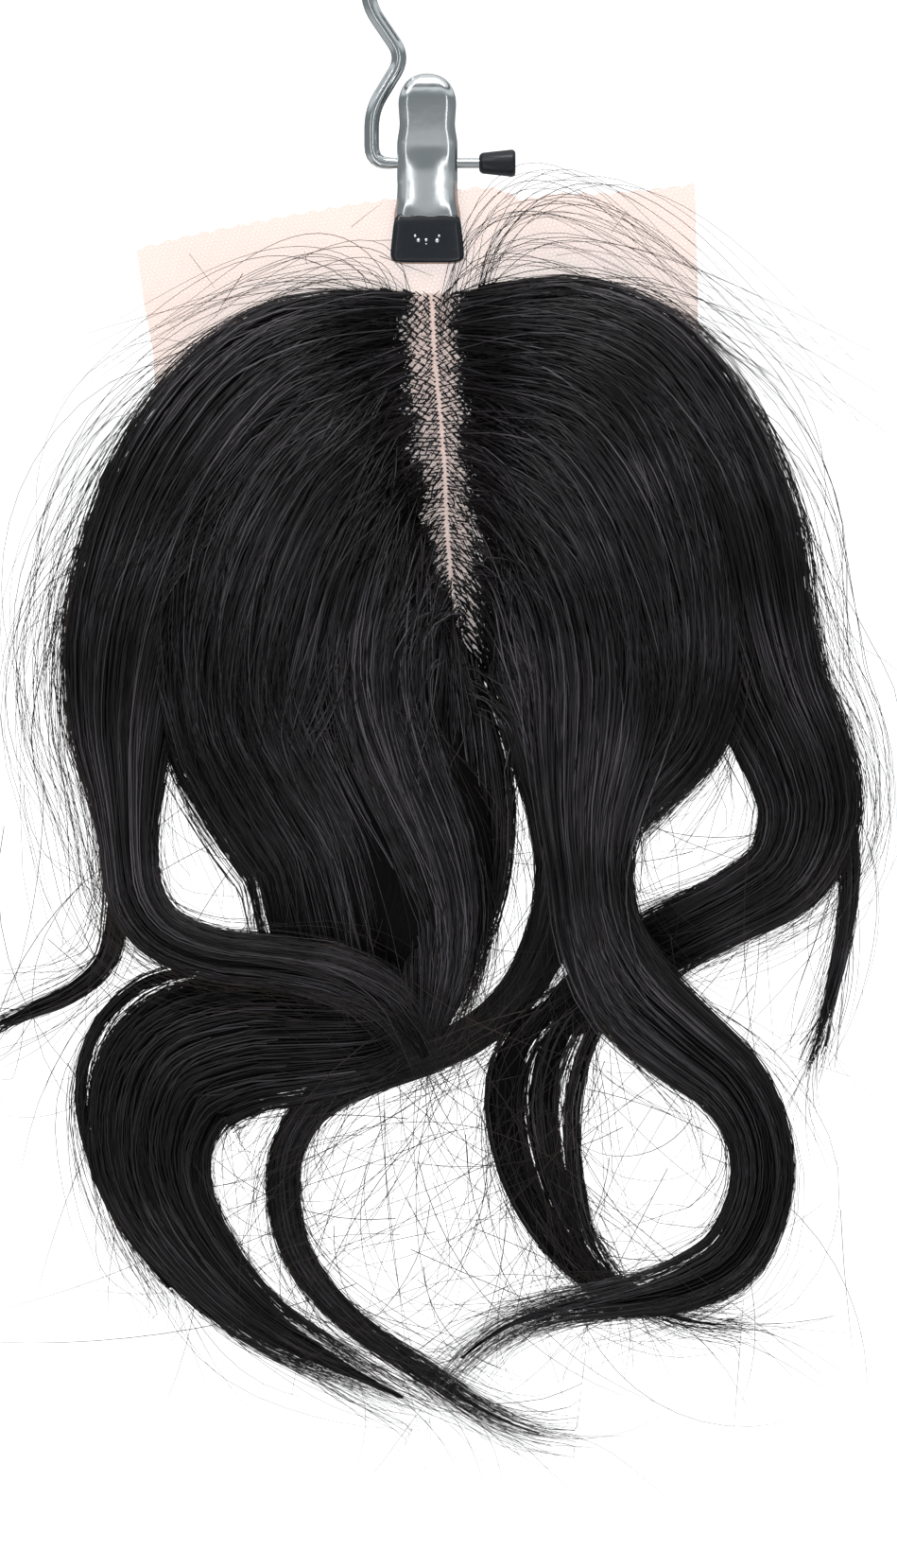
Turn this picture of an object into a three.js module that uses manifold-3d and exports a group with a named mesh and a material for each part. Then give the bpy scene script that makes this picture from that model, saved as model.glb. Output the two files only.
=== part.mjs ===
// A lace hair closure with a middle parting and wavy locks, held by a spring clip on a wire hook.
// Millimetres: X to the right, Y away from the viewer, Z up. The origin is the point inside the
// top of the hook that bears on whatever the hook hangs from.
import * as THREE from "three";
import { mergeVertices } from "three/addons/utils/BufferGeometryUtils.js";
import Module from "manifold-3d";

const wasm = await Module();
wasm.setup();

// Clearance between two pieces that seat on each other
const seatGap = 0.3;

// Lace base
const laceThickness = 1.0;
const laceHalfWidth = 71.5;
const laceShift = -3.0; // the clip grips a little to the right of the lace's middle
const frontMargin = 26.0; // bare lace above the hairline
const knottedDepth = 113.0; // from the hairline to the last row of knots
const backMargin = 4.0;
const sideBow = 7.0; // how far the side edges hang back
const foldDepth = 2.2; // soft folds along the bare front edge
const foldRun = 60.0; // how far down those folds fade out
const flatHalfWidth = 13.0; // stretch that the clip holds flat

// Hair, measured from the middle of the hairline
const hairReach = 111.0;
const hairLength = 293.0;
const hairDepth = 32.0;
const lockSides = 10;

// Spring clip
const clipSpread = 8.8; // from the lace's middle to the face of a lever
const clipHalfWidth = 6.9;
const sheetThickness = 0.8;
const leverHeight = 21.7; // above the spindle
const jawDrop = 23.5; // below the spindle
const earReach = 3.0; // how far the ears pass the middle, to carry the spindle
const sheetBend = 2.2; // outer radius of the channel's bends
const bootDrop = 25.5; // bottom of the rubber boot below the spindle
const bootHeight = 12.6;
const bootHalfWidth = 9.5;
const bootDepth = 4.4; // from the lace's middle to the boot's outer face
const hairlineDrop = 34.2; // hairline below the spindle
const springWire = 1.2;
const springTurns = 3.5;
const springWidth = 6.0;
const springLegRise = 12.0;

// Wire hook
const wireDiameter = 3.8;
const spindleDiameter = 2.6;
const spindleReach = 20.4; // right end of the spindle, inside its cap
const hookRadius = 15.2; // to the wire's centreline
const hookRise = 60.0; // centre of the hook above the spindle
const hookTail = 6.0;
const lowerLegX = -14.2;
const lowerBendRise = 13.5;
const kinkX = -6.0;
const kinkRise = 27.0;
const upperBendRise = 40.5;
const bendRadius = 4.5;
const capStart = 13.2;
const capLength = 9.3;
const capRootRadius = 2.6;
const capEndRadius = 3.6;
const capWall = 1.9; // rubber beyond the end of the spindle

// Places that follow from the sizes
const laceFace = laceThickness / 2;
const spindleRadius = spindleDiameter / 2;
const spindleZ = wireDiameter / 2 - hookRadius - hookRise;
const hairlineZ = spindleZ - hairlineDrop;
const plateHeight = leverHeight + jawDrop;
const bootInner = laceFace + seatGap;

// Top edge of the lace from left to right: across in half widths, rise in front margins, fold in fold depths
const topEdge = [
  { across: -1.0, rise: 0.49, fold: 0.6 },
  { across: -0.82, rise: 0.61, fold: -0.5 },
  { across: -0.64, rise: 0.71, fold: 0.5 },
  { across: -0.46, rise: 0.8, fold: -0.5 },
  { across: -0.3, rise: 0.88, fold: 0.3 },
  { across: -0.14, rise: 0.95, fold: 0 },
  { across: 0.05, rise: 1.02, fold: 0 },
  { across: 0.22, rise: 1.08, fold: 0 },
  { across: 0.3, rise: 1.06, fold: -0.8 },
  { across: 0.38, rise: 0.96, fold: 0.9 },
  { across: 0.5, rise: 1.02, fold: -0.4 },
  { across: 0.66, rise: 1.02, fold: 0.4 },
  { across: 0.82, rise: 1.06, fold: -0.3 },
  { across: 1.0, rise: 1.13, fold: 0.8 },
];

// Side edges of the lace from top to bottom, in shares of its height and half width
const sideEdges = [
  { down: 0, left: 1.0, right: 1.0 },
  { down: 0.1, left: 0.975, right: 1.005 },
  { down: 0.2, left: 0.94, right: 1.01 },
  { down: 0.35, left: 0.925, right: 1.01 },
  { down: 0.55, left: 0.92, right: 1.0 },
  { down: 0.78, left: 0.92, right: 0.99 },
  { down: 1.0, left: 0.93, right: 0.98 },
];

// A lock, section by section from its knots to its tip. across and wide are shares of hairReach,
// down of hairLength, front (its front face, measured from the lace) and thick of hairDepth.
const lock = (...rows) =>
  rows.map(([across, down, wide, front, thick]) => ({ across, down, wide, front, thick }));

const leftLocks = {
  side: lock(
    [-0.015, 0.025, 0.13, 0.1, 0.08],
    [-0.15, 0.032, 0.2, 0.5, 0.5],
    [-0.3, 0.055, 0.29, 0.68, 0.72],
    [-0.435, 0.1, 0.33, 0.76, 0.86],
    [-0.55, 0.162, 0.34, 0.78, 0.9],
    [-0.625, 0.23, 0.33, 0.76, 0.86],
    [-0.675, 0.3, 0.3, 0.72, 0.76],
    [-0.695, 0.37, 0.24, 0.72, 0.66],
    [-0.69, 0.42, 0.175, 0.76, 0.58],
    [-0.683, 0.47, 0.125, 0.8, 0.5],
    [-0.665, 0.52, 0.12, 0.86, 0.42],
    [-0.6, 0.553, 0.115, 0.92, 0.38],
    [-0.48, 0.571, 0.11, 0.97, 0.36],
    [-0.34, 0.577, 0.11, 1.0, 0.34],
    [-0.2, 0.588, 0.11, 1.0, 0.32],
    [-0.09, 0.612, 0.085, 0.94, 0.24],
    [-0.02, 0.648, 0.04, 0.84, 0.12],
    [0.03, 0.685, 0.012, 0.76, 0.04],
  ),
  crown: lock(
    [-0.005, 0.095, 0.26, 0.1, 0.08],
    [-0.1, 0.105, 0.3, 0.62, 0.6],
    [-0.235, 0.155, 0.36, 0.86, 0.86],
    [-0.34, 0.225, 0.39, 0.96, 1.0],
    [-0.4, 0.3, 0.41, 0.98, 1.0],
    [-0.405, 0.365, 0.4, 0.95, 0.96],
    [-0.335, 0.425, 0.38, 0.9, 0.84],
    [-0.25, 0.482, 0.35, 0.84, 0.72],
    [-0.21, 0.54, 0.35, 0.78, 0.64],
    [-0.18, 0.59, 0.3, 0.72, 0.54],
    [-0.155, 0.64, 0.12, 0.62, 0.3],
  ),
  inner: lock(
    [0.02, 0.19, 0.36, 0.1, 0.08],
    [-0.055, 0.21, 0.32, 0.56, 0.54],
    [-0.125, 0.285, 0.3, 0.78, 0.8],
    [-0.135, 0.355, 0.31, 0.82, 0.86],
    [-0.09, 0.42, 0.31, 0.78, 0.76],
    [-0.02, 0.48, 0.29, 0.72, 0.6],
    [0.02, 0.535, 0.25, 0.68, 0.5],
    [0.03, 0.585, 0.16, 0.64, 0.38],
    [0.03, 0.625, 0.07, 0.58, 0.2],
    [0.015, 0.652, 0.015, 0.54, 0.05],
  ),
  middle: lock(
    [0.055, 0.29, 0.1, 0.1, 0.08],
    [0.07, 0.34, 0.14, 0.38, 0.36],
    [0.1, 0.4, 0.17, 0.46, 0.34],
    [0.125, 0.46, 0.15, 0.46, 0.26],
    [0.12, 0.52, 0.12, 0.5, 0.24],
    [0.085, 0.575, 0.08, 0.54, 0.2],
    [0.04, 0.63, 0.025, 0.54, 0.08],
  ),
  curl: lock(
    [-0.02, 0.625, 0.1, 0.5, 0.2],
    [-0.13, 0.64, 0.22, 0.62, 0.42],
    [-0.27, 0.643, 0.28, 0.72, 0.5],
    [-0.43, 0.647, 0.32, 0.78, 0.54],
    [-0.575, 0.672, 0.34, 0.78, 0.54],
    [-0.63, 0.73, 0.28, 0.74, 0.5],
    [-0.6, 0.787, 0.22, 0.68, 0.44],
    [-0.505, 0.842, 0.165, 0.62, 0.38],
    [-0.38, 0.888, 0.125, 0.56, 0.3],
    [-0.23, 0.922, 0.09, 0.5, 0.22],
    [-0.1, 0.947, 0.055, 0.46, 0.14],
    [-0.01, 0.963, 0.02, 0.44, 0.06],
  ),
  curl_edge: lock(
    [-0.52, 0.585, 0.05, 0.66, 0.16],
    [-0.65, 0.596, 0.035, 0.62, 0.13],
    [-0.755, 0.635, 0.028, 0.56, 0.1],
    [-0.792, 0.69, 0.026, 0.52, 0.09],
    [-0.762, 0.75, 0.026, 0.5, 0.09],
    [-0.68, 0.815, 0.03, 0.5, 0.09],
    [-0.57, 0.868, 0.035, 0.5, 0.12],
  ),
  wisp: lock(
    [-0.705, 0.47, 0.07, 0.6, 0.2],
    [-0.712, 0.53, 0.06, 0.55, 0.18],
    [-0.735, 0.575, 0.055, 0.5, 0.16],
    [-0.81, 0.603, 0.045, 0.46, 0.13],
    [-0.91, 0.62, 0.035, 0.42, 0.1],
    [-1.0, 0.635, 0.02, 0.4, 0.06],
    [-1.06, 0.65, 0.01, 0.38, 0.03],
  ),
};

const rightLocks = {
  side: lock(
    [0.045, 0.02, 0.13, 0.1, 0.08],
    [0.17, 0.02, 0.2, 0.52, 0.5],
    [0.34, 0.034, 0.28, 0.7, 0.72],
    [0.5, 0.068, 0.3, 0.78, 0.86],
    [0.62, 0.135, 0.32, 0.8, 0.9],
    [0.695, 0.21, 0.32, 0.78, 0.86],
    [0.735, 0.28, 0.29, 0.74, 0.76],
    [0.785, 0.345, 0.26, 0.7, 0.66],
    [0.85, 0.4, 0.24, 0.68, 0.58],
    [0.875, 0.45, 0.22, 0.64, 0.5],
    [0.825, 0.5, 0.19, 0.56, 0.42],
    [0.7, 0.532, 0.16, 0.46, 0.34],
    [0.57, 0.556, 0.16, 0.36, 0.28],
    [0.44, 0.585, 0.17, 0.28, 0.24],
    [0.33, 0.62, 0.15, 0.26, 0.22],
    [0.25, 0.65, 0.06, 0.24, 0.12],
  ),
  ring_outer: lock(
    [0.37, 0.6, 0.08, 0.2, 0.14],
    [0.24, 0.632, 0.085, 0.24, 0.18],
    [0.18, 0.678, 0.085, 0.26, 0.18],
    [0.185, 0.735, 0.08, 0.28, 0.18],
    [0.245, 0.795, 0.07, 0.3, 0.16],
    [0.355, 0.845, 0.06, 0.3, 0.14],
    [0.48, 0.872, 0.045, 0.3, 0.1],
    [0.6, 0.889, 0.028, 0.3, 0.06],
    [0.72, 0.893, 0.012, 0.3, 0.03],
  ),
  ring_middle: lock(
    [0.4, 0.595, 0.08, 0.2, 0.14],
    [0.31, 0.635, 0.08, 0.26, 0.18],
    [0.265, 0.69, 0.075, 0.28, 0.18],
    [0.28, 0.75, 0.065, 0.3, 0.17],
    [0.335, 0.81, 0.05, 0.32, 0.14],
    [0.405, 0.848, 0.03, 0.34, 0.1],
  ),
  ring_inner: lock(
    [0.44, 0.6, 0.05, 0.26, 0.12],
    [0.37, 0.645, 0.05, 0.3, 0.14],
    [0.335, 0.695, 0.045, 0.32, 0.14],
    [0.335, 0.755, 0.04, 0.34, 0.13],
    [0.37, 0.815, 0.035, 0.38, 0.12],
    [0.43, 0.852, 0.03, 0.42, 0.1],
  ),
  crown: lock(
    [0.05, 0.08, 0.2, 0.1, 0.08],
    [0.18, 0.08, 0.28, 0.62, 0.6],
    [0.34, 0.098, 0.3, 0.86, 0.86],
    [0.47, 0.162, 0.33, 0.94, 1.0],
    [0.555, 0.24, 0.33, 0.94, 1.0],
    [0.58, 0.315, 0.31, 0.9, 0.92],
    [0.555, 0.375, 0.26, 0.86, 0.78],
    [0.48, 0.42, 0.2, 0.84, 0.62],
    [0.41, 0.46, 0.14, 0.82, 0.46],
    [0.385, 0.51, 0.08, 0.78, 0.24],
  ),
  front: lock(
    [0.065, 0.16, 0.3, 0.1, 0.08],
    [0.17, 0.165, 0.27, 0.6, 0.58],
    [0.295, 0.205, 0.3, 0.86, 0.86],
    [0.375, 0.265, 0.32, 0.96, 0.98],
    [0.405, 0.33, 0.32, 0.98, 0.96],
    [0.395, 0.39, 0.29, 0.98, 0.86],
    [0.375, 0.445, 0.22, 1.0, 0.7],
    [0.375, 0.5, 0.17, 1.0, 0.58],
    [0.4, 0.555, 0.18, 0.98, 0.52],
    [0.47, 0.606, 0.195, 0.92, 0.5],
    [0.58, 0.645, 0.18, 0.82, 0.46],
    [0.69, 0.68, 0.155, 0.74, 0.42],
    [0.755, 0.725, 0.135, 0.68, 0.4],
    [0.762, 0.778, 0.135, 0.64, 0.38],
    [0.7, 0.83, 0.14, 0.6, 0.34],
    [0.585, 0.856, 0.12, 0.58, 0.28],
    [0.45, 0.868, 0.08, 0.6, 0.2],
    [0.31, 0.876, 0.055, 0.6, 0.15],
    [0.185, 0.892, 0.042, 0.56, 0.11],
    [0.085, 0.918, 0.03, 0.52, 0.08],
    [0.02, 0.945, 0.014, 0.5, 0.04],
  ),
  under: lock(
    [0.08, 0.24, 0.3, 0.1, 0.08],
    [0.17, 0.262, 0.22, 0.46, 0.44],
    [0.235, 0.325, 0.2, 0.6, 0.6],
    [0.27, 0.385, 0.17, 0.56, 0.52],
    [0.295, 0.44, 0.13, 0.44, 0.36],
    [0.305, 0.5, 0.105, 0.3, 0.24],
    [0.28, 0.555, 0.1, 0.2, 0.18],
    [0.205, 0.608, 0.085, 0.14, 0.15],
    [0.09, 0.645, 0.08, 0.1, 0.14],
    [-0.06, 0.667, 0.08, 0.08, 0.14],
    [-0.185, 0.685, 0.078, 0.08, 0.14],
    [-0.28, 0.712, 0.072, 0.1, 0.16],
    [-0.33, 0.757, 0.068, 0.14, 0.18],
    [-0.315, 0.815, 0.066, 0.18, 0.18],
    [-0.25, 0.86, 0.06, 0.22, 0.16],
    [-0.14, 0.9, 0.05, 0.25, 0.14],
    [-0.01, 0.932, 0.042, 0.27, 0.11],
    [0.12, 0.965, 0.032, 0.28, 0.08],
    [0.24, 0.985, 0.02, 0.28, 0.05],
    [0.34, 0.99, 0.01, 0.28, 0.03],
  ),
  wisp: lock(
    [0.915, 0.41, 0.08, 0.5, 0.2],
    [0.955, 0.46, 0.06, 0.46, 0.18],
    [0.968, 0.51, 0.045, 0.42, 0.14],
    [0.95, 0.565, 0.035, 0.4, 0.1],
    [0.915, 0.62, 0.025, 0.38, 0.06],
    [0.875, 0.665, 0.01, 0.36, 0.03],
  ),
};

// Rows of a pressed plate from the top of its lever to its jaw: at in plate heights, wide in clip
// half widths, out (its face) and lip (the edge of its side walls) in clip spreads
const plateRows = [
  { at: 0, wide: 0.26, out: 0.74, lip: 0.5 },
  { at: 0.012, wide: 0.5, out: 0.86, lip: 0.5 },
  { at: 0.04, wide: 0.72, out: 0.96, lip: 0.52 },
  { at: 0.085, wide: 0.89, out: 1.0, lip: 0.54 },
  { at: 0.15, wide: 0.96, out: 1.0, lip: 0.52 },
  { at: 0.27, wide: 0.9, out: 0.9, lip: 0.36 },
  { at: 0.35, wide: 0.98, out: 0.81, lip: 0.2 },
];
const jawRows = [
  { at: 0.61, wide: 0.98, out: 0.52, lip: 0.19 },
  { at: 0.7, wide: 1.02, out: 0.4, lip: 0.2 },
  { at: 0.77, wide: 1.1, out: 0.36, lip: 0.21 },
  { at: 0.88, wide: 1.13, out: 0.35, lip: 0.22 },
  { at: 1.0, wide: 1.15, out: 0.34, lip: 0.22 },
];
// The ear around the spindle: rise in ear reaches from the spindle, past in ear reaches behind the middle
const earRows = [
  { rise: 1.1, out: 0.76, past: 0.72 },
  { rise: 0.5, out: 0.71, past: 1.0 },
  { rise: -0.5, out: 0.65, past: 1.0 },
  { rise: -1.1, out: 0.6, past: 0.72 },
];

// Rows of a rubber boot from top to bottom: at in boot heights, wide in boot half widths, out in boot depths
const bootRows = [
  { at: 0, wide: 0.88, out: 0.92 },
  { at: 0.1, wide: 0.91, out: 1.0 },
  { at: 0.5, wide: 0.96, out: 1.0 },
  { at: 0.84, wide: 1.0, out: 0.96 },
  { at: 0.95, wide: 0.97, out: 0.88 },
  { at: 1.0, wide: 0.9, out: 0.7 },
];

// The materials, with the colours of the real pieces
const material = (color, roughness, metalness = 0) =>
  new THREE.MeshStandardMaterial({ color, roughness, metalness });
const laceNet = material(0xe6d3c9, 0.8);
const blackHair = material(0x17151a, 0.45);
const chromedSteel = material(0xc4c8ca, 0.15, 1);
const blackRubber = material(0x202428, 0.5);
const springSteel = material(0x8f9396, 0.3, 1);

// Linear interpolation of one column of a table whose rows are ordered by another column
function lookUp(rows, key, value, column) {
  const after = rows.findIndex((row) => row[key] >= value);
  if (after < 0) return rows.at(-1)[column];
  if (after === 0) return rows[0][column];
  const [low, high] = [rows[after - 1], rows[after]];
  const share = (value - low[key]) / (high[key] - low[key]);
  return THREE.MathUtils.lerp(low[column], high[column], share);
}

// A table made finer by a smooth curve through each of its columns
function smoothRows(rows, steps) {
  const count = (rows.length - 1) * steps;
  const curves = Object.keys(rows[0]).map((column) => ({
    column,
    curve: new THREE.SplineCurve(rows.map((row, i) => new THREE.Vector2(i, row[column]))),
  }));
  return Array.from({ length: count + 1 }, (_, i) =>
    Object.fromEntries(curves.map(({ column, curve }) => [column, curve.getPoint(i / count).y])),
  );
}

// A closed surface through loops of equally many points, with flat ends
function loft(loops) {
  const sides = loops[0].length;
  const positions = loops.flat().flatMap((p) => [p.x, p.y, p.z]);
  const index = [];
  for (let row = 0; row + 1 < loops.length; row++) {
    for (let k = 0; k < sides; k++) {
      const a = row * sides + k;
      const b = row * sides + ((k + 1) % sides);
      index.push(a, b, b + sides, a, b + sides, a + sides);
    }
  }
  const cap = (loop, first, reversed) => {
    const normal = new THREE.Vector3();
    loop.forEach((p, k) => normal.add(p.clone().cross(loop[(k + 1) % sides])));
    const flat = new THREE.Quaternion().setFromUnitVectors(
      normal.normalize(),
      new THREE.Vector3(0, 0, 1),
    );
    const outline = loop.map((p) => p.clone().applyQuaternion(flat));
    for (const [a, b, c] of THREE.ShapeUtils.triangulateShape(outline, [])) {
      index.push(first + a, first + (reversed ? c : b), first + (reversed ? b : c));
    }
  };
  cap(loops[0], 0, true);
  cap(loops.at(-1), (loops.length - 1) * sides, false);
  const geometry = new THREE.BufferGeometry();
  geometry.setAttribute("position", new THREE.Float32BufferAttribute(positions, 3));
  geometry.setIndex(index);
  return facingOut(geometry);
}

// The same geometry with its triangles turned round if they enclose a negative volume
function facingOut(geometry) {
  const p = geometry.getAttribute("position");
  const corner = (i) => new THREE.Vector3().fromBufferAttribute(p, geometry.index.getX(i));
  let volume = 0;
  for (let i = 0; i < geometry.index.count; i += 3) {
    volume += corner(i).dot(corner(i + 1).cross(corner(i + 2)));
  }
  if (volume < 0) {
    geometry.setIndex(Array.from(geometry.index.array).reverse());
  }
  return geometry;
}

function solidOf(geometry) {
  const bare = geometry.clone();
  bare.deleteAttribute("normal");
  bare.deleteAttribute("uv");
  const merged = mergeVertices(bare, 1e-4);
  return new wasm.Manifold(
    new wasm.Mesh({
      numProp: 3,
      vertProperties: merged.getAttribute("position").array,
      triVerts: new Uint32Array(merged.index.array),
    }),
  );
}

function geometryOf(solid) {
  const mesh = solid.getMesh();
  const geometry = new THREE.BufferGeometry();
  geometry.setAttribute("position", new THREE.BufferAttribute(mesh.vertProperties, 3));
  geometry.setIndex(new THREE.BufferAttribute(mesh.triVerts, 1));
  geometry.computeVertexNormals();
  return geometry;
}

function piece(name, geometry, pieceMaterial) {
  const mesh = new THREE.Mesh(geometry, pieceMaterial);
  mesh.name = name;
  return mesh;
}

// A tube of elliptical sections along stations that lie one after the other in upright planes
// facing the viewer. A station holds its centre and its half size in that plane and towards the viewer.
function sweep(stations, sides) {
  const loops = stations.map(({ centre, half, halfDepth }, i) => {
    const before = stations[Math.max(i - 1, 0)].centre;
    const after = stations[Math.min(i + 1, stations.length - 1)].centre;
    const sideways = new THREE.Vector3(after.z - before.z, 0, before.x - after.x).normalize();
    return Array.from({ length: sides }, (_, k) => {
      const turn = (2 * Math.PI * k) / sides;
      return centre
        .clone()
        .addScaledVector(sideways, half * Math.cos(turn))
        .add(new THREE.Vector3(0, halfDepth * Math.sin(turn), 0));
    });
  });
  return loft(loops);
}

// A point of the lace, from its place across (-1 to 1) and down (0 to 1), behind its middle by depth.
// A margin widens the outline on all sides.
function lacePoint(across, down, depth, margin) {
  const height = frontMargin + knottedDepth + backMargin;
  const top = frontMargin * lookUp(topEdge, "across", across, "rise") + margin;
  const bottom = -(knottedDepth + backMargin) - margin;
  const side = lookUp(sideEdges, "down", down, across < 0 ? "left" : "right");
  const x = laceShift + across * (laceHalfWidth * side + margin);
  const z = THREE.MathUtils.lerp(top, bottom, down);
  const beyond = Math.max(0, Math.abs(x) - flatHalfWidth) / (laceHalfWidth - flatHalfWidth);
  const fade = Math.max(0, 1 - (down * height) / foldRun) ** 2;
  const fold = foldDepth * lookUp(topEdge, "across", across, "fold") * fade;
  return new THREE.Vector3(x, sideBow * beyond ** 2 + fold + depth, z);
}

// A slab that follows the lace, from frontDepth to backDepth behind its middle surface
function laceSlab(frontDepth, backDepth, margin) {
  const columns = topEdge.map((row) => row.across);
  const rows = sideEdges.map((row) => row.down);
  const loops = columns.map((across) => [
    ...rows.map((down) => lacePoint(across, down, frontDepth, margin)),
    ...rows.toReversed().map((down) => lacePoint(across, down, backDepth, margin)),
  ]);
  return loft(loops);
}

function lockSolid(rows, growth) {
  const stations = smoothRows(rows, 2).map((row) => ({
    centre: new THREE.Vector3(
      row.across * hairReach,
      -laceFace - (row.front - row.thick / 2) * hairDepth,
      -row.down * hairLength,
    ),
    half: (row.wide * hairReach) / 2 + growth,
    halfDepth: (row.thick * hairDepth) / 2 + growth,
  }));
  return solidOf(sweep(stations, lockSides));
}

// All the locks on one side of the parting, fused where they run together, with growth all round
function lockGroup(locks, growth) {
  return Object.values(locks)
    .map((rows) => lockSolid(rows, growth))
    .reduce((all, next) => all.add(next));
}

function makeClosure() {
  const closure = new THREE.Group();
  closure.position.z = hairlineZ;
  const lace = laceSlab(-laceFace, laceFace, 0);
  const behindHair = solidOf(laceSlab(-laceFace - seatGap, laceFace + hairDepth, seatGap));
  const left = lockGroup(leftLocks, 0).subtract(behindHair);
  const right = lockGroup(rightLocks, 0)
    .subtract(behindHair)
    .subtract(lockGroup(leftLocks, seatGap));
  closure.add(
    piece("lace_base", lace, laceNet),
    piece("hair_left", geometryOf(left), blackHair),
    piece("hair_right", geometryOf(right), blackHair),
  );
  return closure;
}

// All rows of a plate as sizes: height above the spindle, half width, face and lip from the middle
function plateSections() {
  const sized = ({ at, wide, out, lip }) => ({
    rise: leverHeight - at * plateHeight,
    wide: wide * clipHalfWidth,
    out: out * clipSpread,
    lip: lip * clipSpread,
  });
  const ears = earRows.map(({ rise, out, past }) => ({
    rise: rise * earReach * 1.5,
    wide: clipHalfWidth,
    out: out * clipSpread,
    lip: -past * earReach,
  }));
  return [...plateRows.map(sized), ...ears, ...jawRows.map(sized)];
}

// A pressed channel: its face looks away from the lace and its side walls come back towards it.
// inset narrows it so that one plate nests in the other, and growth thickens it on all sides.
function plateGeometry(inset, growth) {
  const sections = plateSections();
  const wall = (half, face, lip, bend) => [
    [-half, lip],
    [-half, face - bend],
    [-half + 0.3 * bend, face - 0.3 * bend],
    [-half + bend, face],
    [half - bend, face],
    [half - 0.3 * bend, face - 0.3 * bend],
    [half, face - bend],
    [half, lip],
  ];
  const loops = sections.map(({ rise, wide, out, lip }, i) => {
    const half = wide - inset + growth;
    const face = out + growth;
    const inner = sheetThickness + 2 * growth;
    const edge = lip - growth;
    const bend = Math.min(sheetBend, 0.6 * half, 0.6 * (face - edge));
    const shell = Math.min(inner, 0.6 * half, 0.6 * (face - edge));
    const innerBend = Math.max(bend - shell, 0.2 * bend);
    const outside = wall(half, face, edge, bend);
    const inside = wall(half - shell, face - shell, edge, innerBend).reverse();
    const end = i === sections.length - 1 ? -growth : 0;
    return [...outside, ...inside].map(([x, y]) => new THREE.Vector3(x, -y, rise + end));
  });
  return loft(loops);
}

// One plate with the holes for the spindle in its ears
function plate(inset) {
  const hole = new THREE.CylinderGeometry(
    spindleRadius + seatGap,
    spindleRadius + seatGap,
    4 * clipHalfWidth,
    16,
  ).rotateZ(Math.PI / 2);
  return geometryOf(solidOf(plateGeometry(inset, 0)).subtract(solidOf(hole)));
}

// A rubber boot around the end of a plate, with the plate's own shape cut out of it
function boot(inset) {
  const corner = 0.18 * bootHalfWidth;
  const loops = bootRows.map(({ at, wide, out }) => {
    const half = wide * bootHalfWidth;
    const face = out * bootDepth;
    const z = bootHeight - bootDrop - at * bootHeight;
    return [
      [-half, bootInner],
      [-half, face - corner],
      [-half + 0.3 * corner, face - 0.3 * corner],
      [-half + corner, face],
      [half - corner, face],
      [half - 0.3 * corner, face - 0.3 * corner],
      [half, face - corner],
      [half, bootInner],
    ].map(([x, y]) => new THREE.Vector3(x, -y, z));
  });
  return geometryOf(solidOf(loft(loops)).subtract(solidOf(plateGeometry(inset, seatGap))));
}

// The torsion spring: turns around the spindle and a leg up behind each lever
function spring() {
  const radius = spindleRadius + seatGap + springWire / 2;
  const stepsPerTurn = 10;
  const steps = springTurns * stepsPerTurn;
  const leverAt = (leverHeight - springLegRise) / plateHeight;
  const face = lookUp(plateRows, "at", leverAt, "out") * clipSpread;
  const legOut = face - sheetThickness - seatGap - springWire / 2;
  const coil = Array.from({ length: steps + 1 }, (_, i) => {
    const turn = Math.PI + (2 * Math.PI * i) / stepsPerTurn;
    const x = springWidth * (i / steps - 0.5);
    return new THREE.Vector3(x, radius * Math.cos(turn), radius * Math.sin(turn));
  });
  const foot = (x, y) => new THREE.Vector3(x, y, springLegRise);
  const path = new THREE.CatmullRomCurve3([
    foot(-springWidth / 2, -legOut),
    new THREE.Vector3(-springWidth / 2, -(radius + legOut) / 2, springLegRise / 2),
    ...coil,
    new THREE.Vector3(springWidth / 2, (radius + legOut) / 2, springLegRise / 2),
    foot(springWidth / 2, legOut),
  ]);
  const section = new THREE.Shape().absarc(0, 0, springWire / 2, 0, 2 * Math.PI);
  return new THREE.ExtrudeGeometry(section, {
    steps: path.points.length * 2,
    curveSegments: 3,
    extrudePath: path,
    bevelEnabled: false,
  });
}

function makeClip() {
  const clip = new THREE.Group();
  clip.position.z = spindleZ;
  const nesting = sheetThickness + seatGap;
  const backHalf = new THREE.Group();
  backHalf.rotation.z = Math.PI;
  backHalf.add(
    piece("clip_back_plate", plate(nesting), chromedSteel),
    piece("clip_back_boot", boot(nesting), blackRubber),
  );
  clip.add(
    piece("clip_front_plate", plate(0), chromedSteel),
    piece("clip_front_boot", boot(0), blackRubber),
    piece("clip_spring", spring(), springSteel),
    backHalf,
  );
  return clip;
}

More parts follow.
